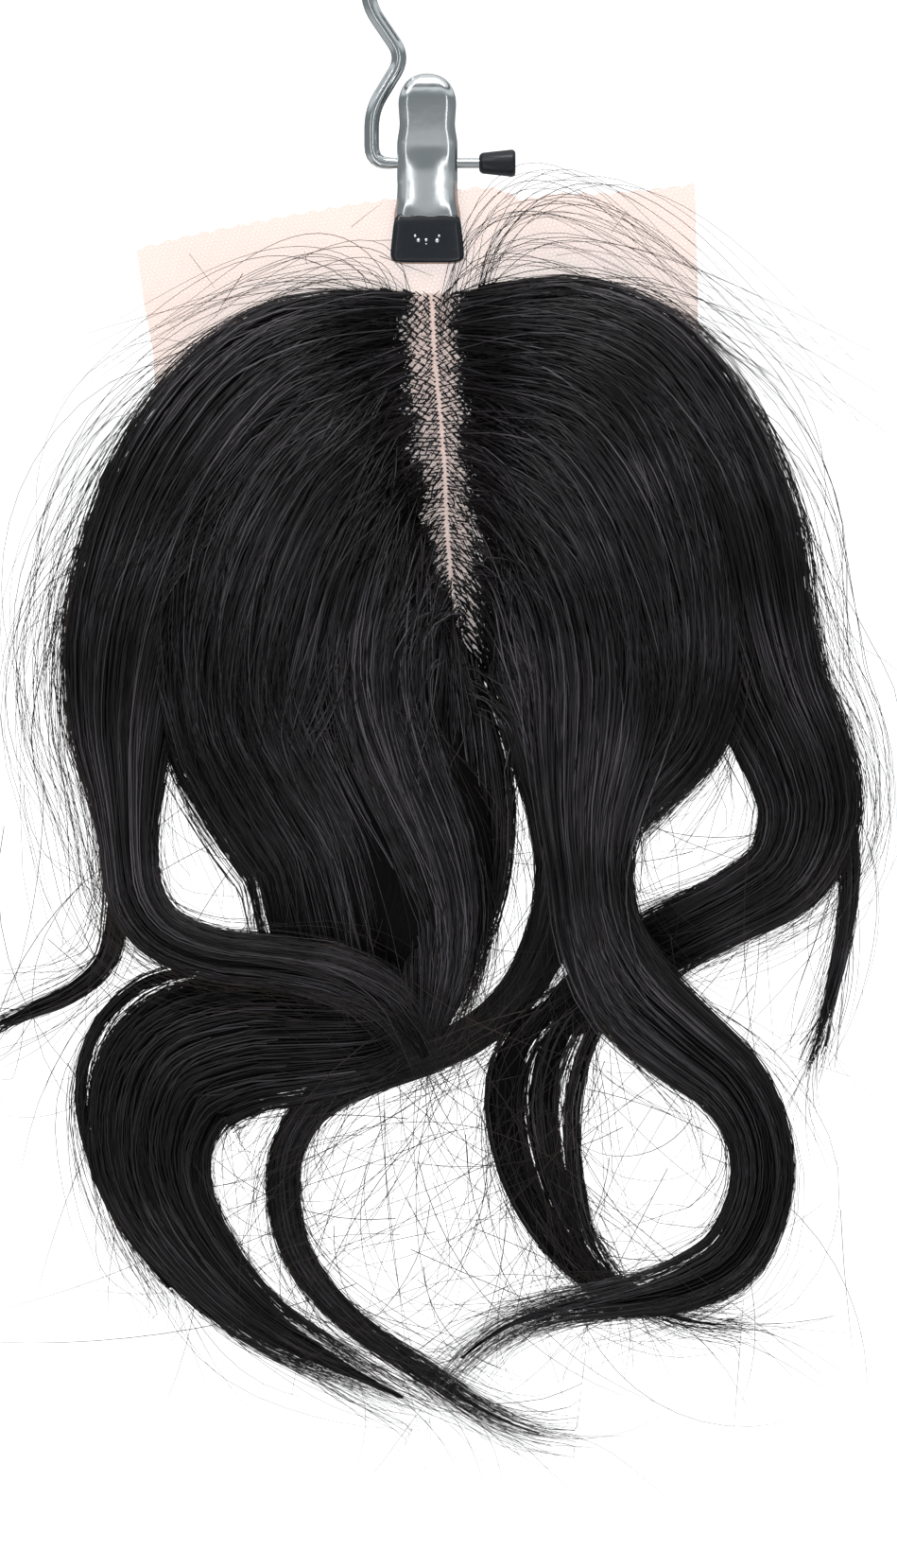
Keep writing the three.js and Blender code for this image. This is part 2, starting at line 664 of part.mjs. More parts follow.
// The wire, from the end of the spindle round its bends and over the hook
function hookWire() {
  const corner = (from, at, to) => {
    const toward = (target) =>
      at.clone().add(target.clone().sub(at).setLength(bendRadius));
    return new THREE.QuadraticBezierCurve3(toward(from), at, toward(to));
  };
  const at = (x, rise) => new THREE.Vector3(x, 0, rise);
  const start = at(spindleReach, 0);
  const bends = [
    at(lowerLegX, 0),
    at(lowerLegX, lowerBendRise),
    at(kinkX, kinkRise),
    at(-hookRadius, upperBendRise),
  ];
  const hookStart = at(-hookRadius, hookRise);
  const stops = [start, ...bends, hookStart];
  const bent = bends.flatMap((bend, i) => corner(stops[i], bend, stops[i + 2]).getPoints(4));
  const hook = Array.from({ length: 13 }, (_, i) => {
    const turn = Math.PI * (1 - i / 12);
    return at(hookRadius * Math.cos(turn), hookRise + hookRadius * Math.sin(turn));
  });
  const centres = [
    start,
    at(clipHalfWidth, 0),
    at(-clipHalfWidth, 0),
    ...bent,
    ...hook,
    at(hookRadius, hookRise - hookTail),
  ];
  // The spindle is drawn thinner than the rest, and swells through the first bend
  const stations = centres.map((centre) => {
    const swell = THREE.MathUtils.smoothstep(centre.z - centre.x, clipHalfWidth, -lowerLegX + bendRadius);
    const half = THREE.MathUtils.lerp(spindleDiameter, wireDiameter, swell) / 2;
    return { centre, half, halfDepth: half };
  });
  return sweep(stations, 12);
}

function spindleCap() {
  const bore = spindleRadius + seatGap;
  const boreDepth = capLength - capWall;
  const profile = [
    [0, boreDepth],
    [bore, boreDepth],
    [bore, 0],
    [capRootRadius * 0.94, 0],
    [capRootRadius, 0.03 * capLength],
    [capEndRadius, 0.88 * capLength],
    [capEndRadius * 0.95, 0.96 * capLength],
    [capEndRadius * 0.78, capLength],
    [0, capLength],
  ].map(([radius, along]) => new THREE.Vector2(radius, along));
  return new THREE.LatheGeometry(profile, 16);
}

function makeHanger() {
  const hanger = new THREE.Group();
  hanger.position.z = spindleZ;
  const cap = piece("spindle_cap", spindleCap(), blackRubber);
  cap.rotation.z = -Math.PI / 2;
  cap.position.x = capStart;
  hanger.add(piece("hook_wire", hookWire(), chromedSteel), cap);
  return hanger;
}

const hairClosureOnClip = new THREE.Group();
hairClosureOnClip.add(makeClosure(), makeClip(), makeHanger());

export default hairClosureOnClip;
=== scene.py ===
"""A wavy black hair closure, hanging from a clip on a wire hook. Metres, in the frame of the CAD."""

import math

import bpy
import numpy as np
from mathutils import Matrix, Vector


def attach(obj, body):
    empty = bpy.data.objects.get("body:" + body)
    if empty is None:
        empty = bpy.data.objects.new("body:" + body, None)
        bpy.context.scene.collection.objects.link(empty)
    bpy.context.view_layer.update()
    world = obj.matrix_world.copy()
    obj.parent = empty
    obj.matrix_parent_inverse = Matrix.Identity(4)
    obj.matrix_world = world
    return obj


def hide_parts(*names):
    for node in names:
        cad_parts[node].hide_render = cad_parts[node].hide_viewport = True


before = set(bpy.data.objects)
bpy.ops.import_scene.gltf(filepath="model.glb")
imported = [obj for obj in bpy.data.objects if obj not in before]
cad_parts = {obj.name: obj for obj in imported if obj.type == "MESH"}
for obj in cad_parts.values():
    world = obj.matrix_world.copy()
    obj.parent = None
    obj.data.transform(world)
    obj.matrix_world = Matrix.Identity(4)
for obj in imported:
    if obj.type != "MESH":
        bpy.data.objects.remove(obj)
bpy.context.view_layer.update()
bpy.ops.object.select_all(action="DESELECT")

# The camera looks level at the middle of the photograph, through a long lens.
# 1 mm of the photograph's plane is 4.17 pixels.
view_middle = (0.0054, -0.012, -0.2316)
view_height = 0.398
view_distance = 2.6
lens_mm = 235
bpy.ops.object.camera_add(
    location=(view_middle[0], view_middle[1] - view_distance, view_middle[2]),
    rotation=(math.pi / 2, 0, 0),
)
camera = bpy.context.object
camera.name = "camera"
camera.data.sensor_fit = "AUTO"
camera.data.sensor_width = lens_mm * view_height / view_distance
camera.data.lens = lens_mm
camera.data.clip_start = 0.05
camera.data.clip_end = 20
bpy.context.scene.camera = camera
bpy.context.scene.view_settings.view_transform = "Standard"
bpy.context.scene.view_settings.look = "None"


# The backdrop is a roll of white paper that comes down behind the object and sweeps forward as
# the floor. A material's patterns are written with the class below, here for the first time.
class Shade:
    """One output of a node, which sums, products and mixes are built on."""

    def __init__(self, tree, socket=None):
        self.tree, self.socket = tree, socket

    def node(self, kind, settings=None, values=None, out=0):
        """A new node: its settings come first, then the values or links of its sockets."""
        node = self.tree.nodes.new(kind)
        for key, value in (settings or {}).items():
            if key == "stops":
                ramp = node.color_ramp
                while len(ramp.elements) < len(value):
                    ramp.elements.new(0.5)
                for element, (place, color) in zip(ramp.elements, value):
                    element.position = place
                    element.color = (*color, 1)
            else:
                setattr(node, key, value)
        for key, value in (values or {}).items():
            if isinstance(value, Shade):
                self.tree.links.new(value.socket, node.inputs[key])
            else:
                node.inputs[key].default_value = value
        return Shade(self.tree, node.outputs[out])

    def math(self, operation, first, second=0.0):
        return self.node("ShaderNodeMath", {"operation": operation}, {0: first, 1: second})

    def __add__(self, other):
        return self.math("ADD", self, other)

    def __mul__(self, other):
        return self.math("MULTIPLY", self, other)

    def __sub__(self, other):
        return self.math("SUBTRACT", self, other)

    def __rsub__(self, other):
        return self.math("SUBTRACT", other, self)

    def __pow__(self, other):
        return self.math("POWER", self, other)

    __radd__, __rmul__ = __add__, __mul__

    def mix(self, first, second):
        """A colour between first and second, by this value."""
        settings = {"data_type": "RGBA"}
        return self.node("ShaderNodeMix", settings, {0: self, 6: first, 7: second}, out=2)


def finish(name, **values):
    """A material with one Principled shader, and a Shade to build its patterns from."""
    material = bpy.data.materials.new(name)
    material.use_nodes = True
    shader = material.node_tree.nodes["Principled BSDF"]
    for key, value in values.items():
        shader.inputs[key.replace("_", " ").title().replace("Ior", "IOR")].default_value = value
    return material, shader, Shade(material.node_tree)


def feed(shader, **links):
    """Links each Shade to the shader's socket of that name."""
    for key, value in links.items():
        shader.id_data.links.new(value.socket, shader.inputs[key.replace("_", " ").title()])


floor_z = -0.6
floor_front_y = -8.0
wall_y, wall_height = 7.0, 4.0
paper_half_width = 9
sweep_radius = 1.5
sweep = [
    (wall_y - sweep_radius * (1 - math.sin(a)), sweep_radius * (1 - math.cos(a)))
    for a in np.linspace(0, math.pi / 2, 13)
]
profile = [(floor_front_y, 0.0)] + sweep + [(wall_y, wall_height)]
bpy.ops.mesh.primitive_grid_add(x_subdivisions=1, y_subdivisions=len(profile) - 1, size=2)
backdrop = bpy.context.object
backdrop.name = "backdrop"
rows = sorted({round(v.co.y, 5) for v in backdrop.data.vertices})
for v in backdrop.data.vertices:
    y, z = profile[rows.index(round(v.co.y, 5))]
    v.co = (v.co.x * paper_half_width, y, floor_z + z)
bpy.ops.object.shade_smooth()
paper, shader, _ = finish("white_paper", base_color=(0.4, 0.4, 0.4, 1), roughness=0.9)
shader.inputs["Emission Color"].default_value = (1, 1, 1, 1)
shader.inputs["Emission Strength"].default_value = 0.92
backdrop.data.materials.append(paper)
# the chrome mirrors the grey room and not the paper, and the strips shine through the floor
backdrop.visible_glossy = False
backdrop.visible_shadow = False

# The studio is a grey room with bright bands above and below. It has a soft light from the upper
# left, one from above for the sheen, and a tall strip on each side that shows in the chrome.
world = bpy.data.worlds.new("room")
bpy.context.scene.world = world
world.use_nodes = True
s = Shade(world.node_tree)
heading = s.node("ShaderNodeTexCoord", out=0)
height = s.node("ShaderNodeSeparateXYZ", None, {0: heading}, out=2)
# from straight down, at 0, to straight up, at 1
room = s.node(
    "ShaderNodeValToRGB",
    {
        "stops": [
            (0.0, (0.5, 0.5, 0.5)),
            (0.3, (0.55, 0.57, 0.58)),
            (0.4, (0.27, 0.29, 0.3)),
            (0.62, (0.24, 0.26, 0.27)),
            (0.7, (0.85, 0.88, 0.9)),
            (0.76, (0.8, 0.83, 0.85)),
            (0.79, (0.06, 0.07, 0.07)),
            (0.83, (0.1, 0.1, 0.11)),
            (0.87, (0.9, 0.93, 0.95)),
            (1.0, (1.0, 1.0, 1.0)),
        ]
    },
    {0: height * 0.5 + 0.5},
)
# past the paper's edges the camera sees white
seen = s.node("ShaderNodeLightPath", out=0)
room = seen.mix(room, (1.0, 1.0, 1.0, 1))
world.node_tree.links.new(room.socket, world.node_tree.nodes["Background"].inputs["Color"])
world.node_tree.nodes["Background"].inputs["Strength"].default_value = 1.0
lit_point = Vector((0.0, 0.0, -0.2))
for name, place, size, watts in (
    ("key", (-0.8, -1.5, 1.1), (0.8, 0.8), 9),
    ("top", (0.15, -0.6, 1.1), (0.8, 0.4), 9),
    ("left_strip", (-0.62, -1.6, -0.9), (0.13, 2.6), 2.8),
    ("right_strip", (0.5, -1.6, -0.9), (0.17, 2.6), 3.8),
):
    light = bpy.data.lights.new(name, "AREA")
    light.shape = "RECTANGLE"
    light.size, light.size_y = size
    light.energy = watts
    lamp = bpy.data.objects.new(name, light)
    lamp.location = place
    aim = lit_point - Vector(place)
    lamp.rotation_euler = aim.to_track_quat("-Z", "Y").to_euler()
    bpy.context.collection.objects.link(lamp)

# The hook is one length of chromed steel wire, bent up beside the clip, kinked over its middle
# and curled into a hook. Its lower end is turned down thinner and is the clip's spindle.
spindle_z = -0.0733
wire_radius = 0.0019
spindle_radius = 0.0013
hook_radius = 0.0152
hook_rise, hook_end = 0.06, 0.0541
wire_bend_radius = 0.0045
# the corners of the wire, from the end under the cap: x, and the height above the spindle
wire_corners = [
    (0.0204, 0),
    (-0.0142, 0),
    (-0.0142, 0.0135),
    (-0.006, 0.027),
    (-hook_radius, 0.0405),
    (-hook_radius, hook_rise),
]


def chromed(name, tint, roughness):
    """Chromed steel: bright, with faint drawn ripples and small dull specks."""
    material, shader, s = finish(name, metallic=1.0, roughness=roughness)
    place = s.node("ShaderNodeTexCoord", out=3)
    ripple = s.node("ShaderNodeTexNoise", None, {"Vector": place, "Scale": 240, "Detail": 2})
    specks = s.node("ShaderNodeTexVoronoi", None, {"Vector": place, "Scale": 620})
    dull = s.node("ShaderNodeValToRGB", {"stops": [(0.0, (1, 1, 1)), (0.12, (0, 0, 0))]}, {0: specks})
    soiled = [c * 0.72 for c in tint]
    feed(
        shader,
        base_color=(ripple * 0.5).mix((*tint, 1), (*soiled, 1)),
        roughness=ripple * 0.1 + dull * 0.12 + roughness,
        normal=s.node("ShaderNodeBump", None, {"Strength": 0.12, "Distance": 0.0006, "Height": ripple}),
    )
    return material


chrome = chromed("chromed_steel", (0.66, 0.69, 0.7), 0.1)


def rounded(path, radius, steps=6):
    """The path with each inner corner replaced by a smooth bend."""
    points = [Vector(path[0])]
    for before, at, after in zip(path, path[1:], path[2:]):
        before, at, after = Vector(before), Vector(at), Vector(after)
        a = at + (before - at).normalized() * radius
        b = at + (after - at).normalized() * radius
        for k in range(steps + 1):
            u = k / steps
            points.append(a * (1 - u) ** 2 + at * 2 * u * (1 - u) + b * u**2)
    points.append(Vector(path[-1]))
    return points


def select_only(*pieces):
    """The pieces selected and nothing else, with the last one active."""
    bpy.ops.object.select_all(action="DESELECT")
    for piece in pieces:
        piece.select_set(True)
    bpy.context.view_layer.objects.active = pieces[-1]


def face_outwards(doubles=0.0):
    """The active mesh with its doubles merged and then its faces turned outwards."""
    bpy.ops.object.mode_set(mode="EDIT")
    bpy.ops.mesh.select_all(action="SELECT")
    if doubles:
        bpy.ops.mesh.remove_doubles(threshold=doubles)
    bpy.ops.mesh.normals_make_consistent(inside=False)
    bpy.ops.object.mode_set(mode="OBJECT")


def wire_piece(name, points, radii, material, sides=4):
    """A round wire along the points, as a closed mesh."""
    curve = bpy.data.curves.new(name, "CURVE")
    curve.dimensions = "3D"
    curve.bevel_depth = 1.0
    curve.bevel_resolution = sides
    curve.use_fill_caps = True
    spline = curve.splines.new("POLY")
    spline.points.add(len(points) - 1)
    for point, place, radius in zip(spline.points, points, radii):
        point.co = (*place, 1)
        point.radius = radius
    wire = bpy.data.objects.new(name, curve)
    bpy.context.collection.objects.link(wire)
    select_only(wire)
    bpy.ops.object.convert(target="MESH")
    wire = bpy.context.object
    face_outwards(doubles=1e-6)
    bpy.ops.object.shade_smooth_by_angle(angle=math.radians(50))
    wire.data.materials.clear()
    wire.data.materials.append(material)
    return wire


centre = rounded([(x, 0.0, z) for x, z in wire_corners], wire_bend_radius)
centre += [
    Vector((hook_radius * math.cos(a), 0, hook_rise + hook_radius * math.sin(a)))
    for a in np.linspace(math.pi, 0, 33)[1:]
]
end_rounding = 0.0007
centre += [Vector((hook_radius, 0, hook_end + end_rounding)), Vector((hook_radius, 0, hook_end))]
# the spindle is straight, with points where it enters and leaves the clip
centre[1:1] = [centre[0] + Vector((-along, 0, 0)) for along in (0.0135, 0.0273)]
# round the lower bend the spindle widens to the full wire
shoulder_start, shoulder_length = 0.007, 0.009
radii = []
for p in centre:
    share = min(1, max(0, (p.z - p.x - shoulder_start) / shoulder_length))
    radii.append(spindle_radius + (wire_radius - spindle_radius) * share)
radii[-1] = wire_radius - end_rounding
hook = wire_piece("hook_wire_bent", [p + Vector((0, 0, spindle_z)) for p in centre], radii, chrome)
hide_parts("hook_wire")
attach(hook, "root")

# The cap is a short cone of black rubber that is pushed on the end of the spindle. It widens
# towards its flat end, and its rims are worn round.
cap_start, cap_length = 0.0132, 0.0093
cap_inner_radius, cap_outer_radius, cap_rounding = 0.0026, 0.0036, 0.0011


def rubber(name, roughness, bump, coat):
    """Dipped black rubber: glossy and slightly wavy, with painted shade in its waves' low places and
    fine dust.
    """
    material, shader, s = finish(
        name, roughness=roughness, specular_ior_level=0.3, coat_weight=coat, coat_roughness=0.06
    )
    place = s.node("ShaderNodeTexCoord", out=3)
    wave = s.node("ShaderNodeTexNoise", None, {"Vector": place, "Scale": 160, "Detail": 3})
    dust = s.node("ShaderNodeTexNoise", None, {"Vector": place, "Scale": 1500, "Detail": 2})
    # the colour follows the waves: painted shade, darker in their low places and lighter on their
    # crests, with fine dust specks mixed in
    feed(
        shader,
        base_color=(wave * 0.6 + dust * 0.4).mix((0.002, 0.003, 0.0045, 1), (0.009, 0.012, 0.017, 1)),
        roughness=dust * 0.12 + roughness,
        normal=s.node("ShaderNodeBump", None, {"Strength": bump, "Distance": 0.001, "Height": wave}),
    )
    return material


cap_rubber = rubber("cap_rubber", 0.42, 0.1, 0.15)
bpy.ops.object.select_all(action="DESELECT")
bpy.ops.mesh.primitive_cone_add(
    vertices=40,
    radius1=cap_inner_radius,
    radius2=cap_outer_radius,
    depth=cap_length,
    location=(cap_start + cap_length / 2, 0, spindle_z),
    rotation=(0, math.pi / 2, 0),
)
cap = bpy.context.object
cap.name = "spindle_cap_rubber"
bpy.ops.object.transform_apply(location=True, rotation=True, scale=True)
bevel = cap.modifiers.new("worn_rim", "BEVEL")
bevel.width, bevel.segments, bevel.limit_method = cap_rounding, 6, "ANGLE"
bpy.ops.object.modifier_apply(modifier="worn_rim")
bpy.ops.object.shade_smooth_by_angle(angle=math.radians(40))
cap.data.materials.append(cap_rubber)
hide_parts("spindle_cap")
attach(cap, "root")

# Each half of the clip is pressed from 0.8 mm steel sheet: a round lever that flares outwards,
# a channel with ears around the spindle, and a flat jaw. The halves are chromed after pressing.
plate_top = 0.0217
plate_height = 0.0452
half_width = 0.0069
plate_reach = 0.0088
sheet_metal = 0.0008
corner_radius = 0.0017
jaw_crown = 0.0006
# shares of the sheet from its middle where its face ends and where its rounded corner ends
face_end, corner_end = 0.5625, 0.8125
# drop from the top, half width, face and edge, in shares of the sizes above
plate_rows = [
    (0.0, 0.12, 0.7, 0.6),
    (0.008, 0.34, 0.79, 0.57),
    (0.024, 0.55, 0.87, 0.55),
    (0.05, 0.73, 0.94, 0.53),
    (0.09, 0.87, 0.99, 0.53),
    (0.15, 0.95, 0.99, 0.51),
    (0.27, 0.91, 0.90, 0.36),
    (0.35, 0.98, 0.81, 0.20),
    (0.385, 1.0, 0.76, -0.24),
    (0.44, 1.0, 0.71, -0.33),
    (0.52, 1.0, 0.65, -0.33),
    (0.575, 1.0, 0.585, -0.12),
    (0.61, 0.99, 0.53, 0.10),
    (0.70, 1.02, 0.40, 0.20),
    (0.77, 1.10, 0.36, 0.21),
    (0.88, 1.13, 0.35, 0.22),
    (1.0, 1.15, 0.34, 0.22),
]


def smooth_rows(rows, at):
    """The rows of a table at any places along it, on a smooth curve through all of them."""
    rows = np.asarray(rows, float)
    last = len(rows) - 1
    at = np.clip(np.asarray(at, float), 0, last)
    i = np.minimum(at.astype(int), last - 1)
    t = (at - i)[..., None]
    a, b, c, d = (rows[np.clip(i + k, 0, last)] for k in (-1, 0, 1, 2))
    square, cube = 2 * a - 5 * b + 4 * c - d, 3 * b - a - 3 * c + d
    return 0.5 * (2 * b + (c - a) * t + square * t**2 + cube * t**3)


def pressed_plate(name, inset, turned):
    """A grid wrapped round the channel's section, from one edge over its face to the other."""
    across, along = 32, 96
    bpy.ops.object.select_all(action="DESELECT")
    bpy.ops.mesh.primitive_grid_add(x_subdivisions=across, y_subdivisions=along, size=2)
    plate = bpy.context.object
    plate.name = name
    for v in plate.data.vertices:
        u, w = v.co.x, (1 - v.co.y) / 2
        drop, wide, out, lip = smooth_rows(plate_rows, w * (len(plate_rows) - 1))
        wide, out, lip = wide * half_width - inset, out * plate_reach, lip * plate_reach
        # below the ears the face is crowned, which fades out inside the boot
        crown = jaw_crown * (1 - min(1, abs(u) / face_end) ** 2)
        start = min(1, max(0, (drop - 0.39) / 0.13))
        crown *= start * start * (3 - 2 * start) * min(1, max(0.1, (0.79 - drop) * 11))
        bend = min(corner_radius, 0.6 * wide)
        wall = max(0.0004, out - lip - bend)
        face = wide - bend
        if abs(u) < face_end:
            x, y = abs(u) / face_end * face, out + crown
        elif abs(u) < corner_end:
            a = (abs(u) - face_end) / (corner_end - face_end) * math.pi / 2
            x, y = face + bend * math.sin(a), out - bend * (1 - math.cos(a))
        else:
            x, y = wide, out - bend - (abs(u) - corner_end) / (1 - corner_end) * wall
        x = math.copysign(x, u)
        side = -1 if turned else 1
        v.co = (x * side, -y * side, spindle_z + plate_top - drop * plate_height)
    solid = plate.modifiers.new("sheet", "SOLIDIFY")
    solid.thickness, solid.offset = sheet_metal, 1
    face_outwards()
    bpy.ops.object.modifier_apply(modifier="sheet")
    bpy.ops.object.shade_smooth_by_angle(angle=math.radians(50))
    return plate


plate_chrome = chromed("plate_chrome", (0.7, 0.73, 0.74), 0.13)
for name, node, inset, turned in (
    ("clip_front_pressing", "clip_front_plate", 0.0, False),
    ("clip_back_pressing", "clip_back_plate", 0.0011, True),
):
    plate = pressed_plate(name, inset, turned)
    plate.data.materials.append(plate_chrome)
    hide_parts(node)
    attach(plate, "root")

# The jaws are dipped in black rubber, which sets into thick rounded boots. A row of small shiny
# drops stands on each boot's face, and its lower rim is a thicker bead.
boot_top, boot_bottom = spindle_z - 0.0129, spindle_z - 0.0255
boot_half_width, boot_flare = 0.0083, 0.0012
boot_back, boot_thickness = 0.0008, 0.0036
# across, above the boot's lower rim, radius
boot_drops = [
    (-0.0031, 0.0067, 0.00035),
    (-0.0023, 0.0056, 0.0005),
    (-0.0003, 0.0057, 0.00042),
    (-0.0003, 0.0047, 0.00022),
    (0.0025, 0.0055, 0.00055),
    (0.003, 0.0067, 0.00035),
]
boot_rubber = rubber("boot_rubber", 0.26, 0.25, 0.6)
# the drops are coloured a bright silvery metal as a painted glint
drop_painted_glint, _, _ = finish(
    "drop_painted_glint", base_color=(0.75, 0.8, 0.85, 1), metallic=0.9, roughness=0.12
)
for name, node, side in (
    ("clip_front_dip", "clip_front_boot", 1),
    ("clip_back_dip", "clip_back_boot", -1),
):
    bpy.ops.object.select_all(action="DESELECT")
    bpy.ops.mesh.primitive_cube_add(size=2)
    boot = bpy.context.object
    boot.name = name
    bpy.ops.object.mode_set(mode="EDIT")
    bpy.ops.mesh.subdivide(number_cuts=11)
    bpy.ops.object.mode_set(mode="OBJECT")
    for v in boot.data.vertices:
        x, y, z = v.co
        down = (1 - z) / 2
        half = boot_half_width + boot_flare * min(1, down * 1.15)
        # rounded in plan and in elevation, by squashing the corners of the block
        corner = (abs(x) ** 7 + abs(z) ** 7) ** (1 / 7)
        x, z = x / max(1, corner), z / max(1, corner)
        # the bead swells at the lower rim, over a shallow groove
        swell = 1 - 0.12 * abs(x) ** 5 + 0.07 * math.exp(-(((down - 0.93) / 0.05) ** 2))
        swell -= 0.05 * math.exp(-(((down - 0.82) / 0.06) ** 2))
        depth = boot_back + (boot_thickness * swell * (1 - 0.16 * abs(z) ** 6)) * (1 - y) / 2
        # the dip's upper edge is wavy
        edge = abs(z) ** 10 * 0.0004 * math.sin(x * 9 + side) if z > 0 else 0
        height = (boot_top + boot_bottom) / 2 + z * (boot_top - boot_bottom) / 2
        v.co = (x * half, -depth * side, height - edge)
    face_outwards()
    boot.data.materials.append(boot_rubber)
    drops = []
    for x, z, size in boot_drops:
        place = (x, -(boot_back + boot_thickness) * side, boot_bottom + z)
        bpy.ops.mesh.primitive_uv_sphere_add(segments=12, ring_count=8, radius=size, location=place)
        drops.append(bpy.context.object)
        drops[-1].scale.y = 0.5
        drops[-1].data.materials.append(drop_painted_glint)
    select_only(*drops, boot)
    bpy.ops.object.join()
    bpy.ops.object.transform_apply(location=True, rotation=True, scale=True)
    bpy.ops.object.shade_smooth()
    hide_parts(node)
    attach(boot, "root")

# The spring is hard steel wire, wound in three and a half turns round the spindle. A leg at each
# end presses on the inside of a lever.
coil_radius, coil_half_length = 0.0022, 0.003
spring_wire_radius = 0.0006
# from the coil to the leg's end: distance from the spindle's middle plane, height above it
leg_points = [(0.0042, 0.006), (0.0065, 0.012)]
spring_steel = chromed("spring_wire", (0.42, 0.43, 0.44), 0.25)
coil_steps = 84
coil = [Vector((-coil_half_length, -y, z)) for y, z in reversed(leg_points)]
for k, a in enumerate(np.linspace(math.pi, math.pi * 8, coil_steps + 1)):
    x = -coil_half_length + 2 * coil_half_length * k / coil_steps
    coil.append(Vector((x, coil_radius * math.cos(a), coil_radius * math.sin(a))))
coil += [Vector((coil_half_length, y, z)) for y, z in leg_points]
coil = [p + Vector((0, 0, spindle_z)) for p in coil]
spring = wire_piece("clip_spring_wound", coil, [spring_wire_radius] * len(coil), spring_steel, 2)
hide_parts("clip_spring")
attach(spring, "root")

# The lace base is a sheer net of fine beige thread. Its front margin is bare, its sides hang
# back a little, and the clip holds it flat in the middle.
hairline_z = spindle_z - 0.0342
lace_half, lace_shift = 0.0715, -0.003
front_margin, knotted, back_margin = 0.026, 0.113, 0.004
clipped_half, hang_back = 0.013, 0.007
fold_depth, fold_reach = 0.0022, 0.06
# across, rise, fold: from left to right along the cut front edge
top_edge = [
    (-1.0, 0.49, 0.6),
    (-0.82, 0.61, -0.5),
    (-0.64, 0.71, 0.5),
    (-0.46, 0.8, -0.5),
    (-0.3, 0.88, 0.3),
    (-0.14, 0.95, 0),
    (0.05, 1.02, 0),
    (0.22, 1.08, 0),
    (0.3, 1.06, -0.8),
    (0.38, 0.96, 0.9),
    (0.5, 1.02, -0.4),
    (0.66, 1.02, 0.4),
    (0.82, 1.06, -0.3),
    (1.0, 1.13, 0.8),
]
# down, left, right: the side edges from top to bottom
side_edges = [
    (0, 1.0, 1.0),
    (0.1, 0.975, 1.005),
    (0.2, 0.94, 1.01),
    (0.35, 0.925, 1.01),
    (0.55, 0.92, 1.0),
    (0.78, 0.92, 0.99),
    (1.0, 0.93, 0.98),
]
top_edge, side_edges = np.array(top_edge), np.array(side_edges)


def lace_back(x):
    """How far the lace hangs back of the clip's plane: its sides do, beside the clip."""
    beyond = np.maximum(0, np.abs(x) - clipped_half) / (lace_half - clipped_half)
    return hang_back * beyond**2


def lace_place(across, down):
    """Points of the lace from their places across (-1 to 1) and down (0 to 1)."""
    rise = np.interp(across, top_edge[:, 0], top_edge[:, 1])
    fold = np.interp(across, top_edge[:, 0], top_edge[:, 2])
    left = np.interp(down, side_edges[:, 0], side_edges[:, 1])
    right = np.interp(down, side_edges[:, 0], side_edges[:, 2])
    height = front_margin + knotted + back_margin
    z = front_margin * rise * (1 - down) - (knotted + back_margin) * down
    x = lace_shift + across * lace_half * np.where(across < 0, left, right)
    fade = np.maximum(0, 1 - down * height / fold_reach) ** 2
    return np.stack([x, lace_back(x) + fold_depth * fold * fade, hairline_z + z], -1)


bpy.ops.object.select_all(action="DESELECT")
bpy.ops.mesh.primitive_grid_add(x_subdivisions=110, y_subdivisions=110, size=2, calc_uvs=True)
lace = bpy.context.object
lace.name = "lace_net"
flat = np.array([v.co for v in lace.data.vertices])
placed = lace_place(flat[:, 0], (1 - flat[:, 1]) / 2)
# the cut front edge is slightly frayed, and the net is cockled between the knots
placed[:, 2] += 0.0004 * np.sin(flat[:, 0] * 97) * (flat[:, 1] > 0.999)
placed[:, 1] += 0.0002 * np.sin(flat[:, 0] * 31 + flat[:, 1] * 17)
lace.data.vertices.foreach_set("co", placed.astype(np.float32).ravel())
lace.data.update()
bpy.ops.object.shade_smooth()
net, shader, s = finish("beige_lace_net", roughness=0.75, sheen_weight=0.2)
place = s.node("ShaderNodeTexCoord", out=3)
x = s.node("ShaderNodeSeparateXYZ", None, {0: place}, out=0)
z = s.node("ShaderNodeSeparateXYZ", None, {0: place}, out=2)
thread_pitch = 0.00095


def threads(coordinate, bare, knotted_part):
    """1 on parallel threads and 0 between them: they are wider in the knotted part."""
    wave = s.math("SINE", coordinate * (2 * math.pi / thread_pitch))
    below = s.math("LESS_THAN", z, hairline_z + 0.001)
    return s.math("GREATER_THAN", wave, below * (knotted_part - bare) + bare)


first = threads(x * 0.64 + z * 0.77, 0.45, 0.1)
second = threads(x * 0.94 - z * 0.34, 0.6, 0.3)
third = threads(x * 0.12 - z, 0.6, 0.3)
cover = s.math("MAXIMUM", s.math("MAXIMUM", first, second), third)
cloud = s.node("ShaderNodeTexNoise", None, {"Vector": place, "Scale": 45, "Detail": 3})
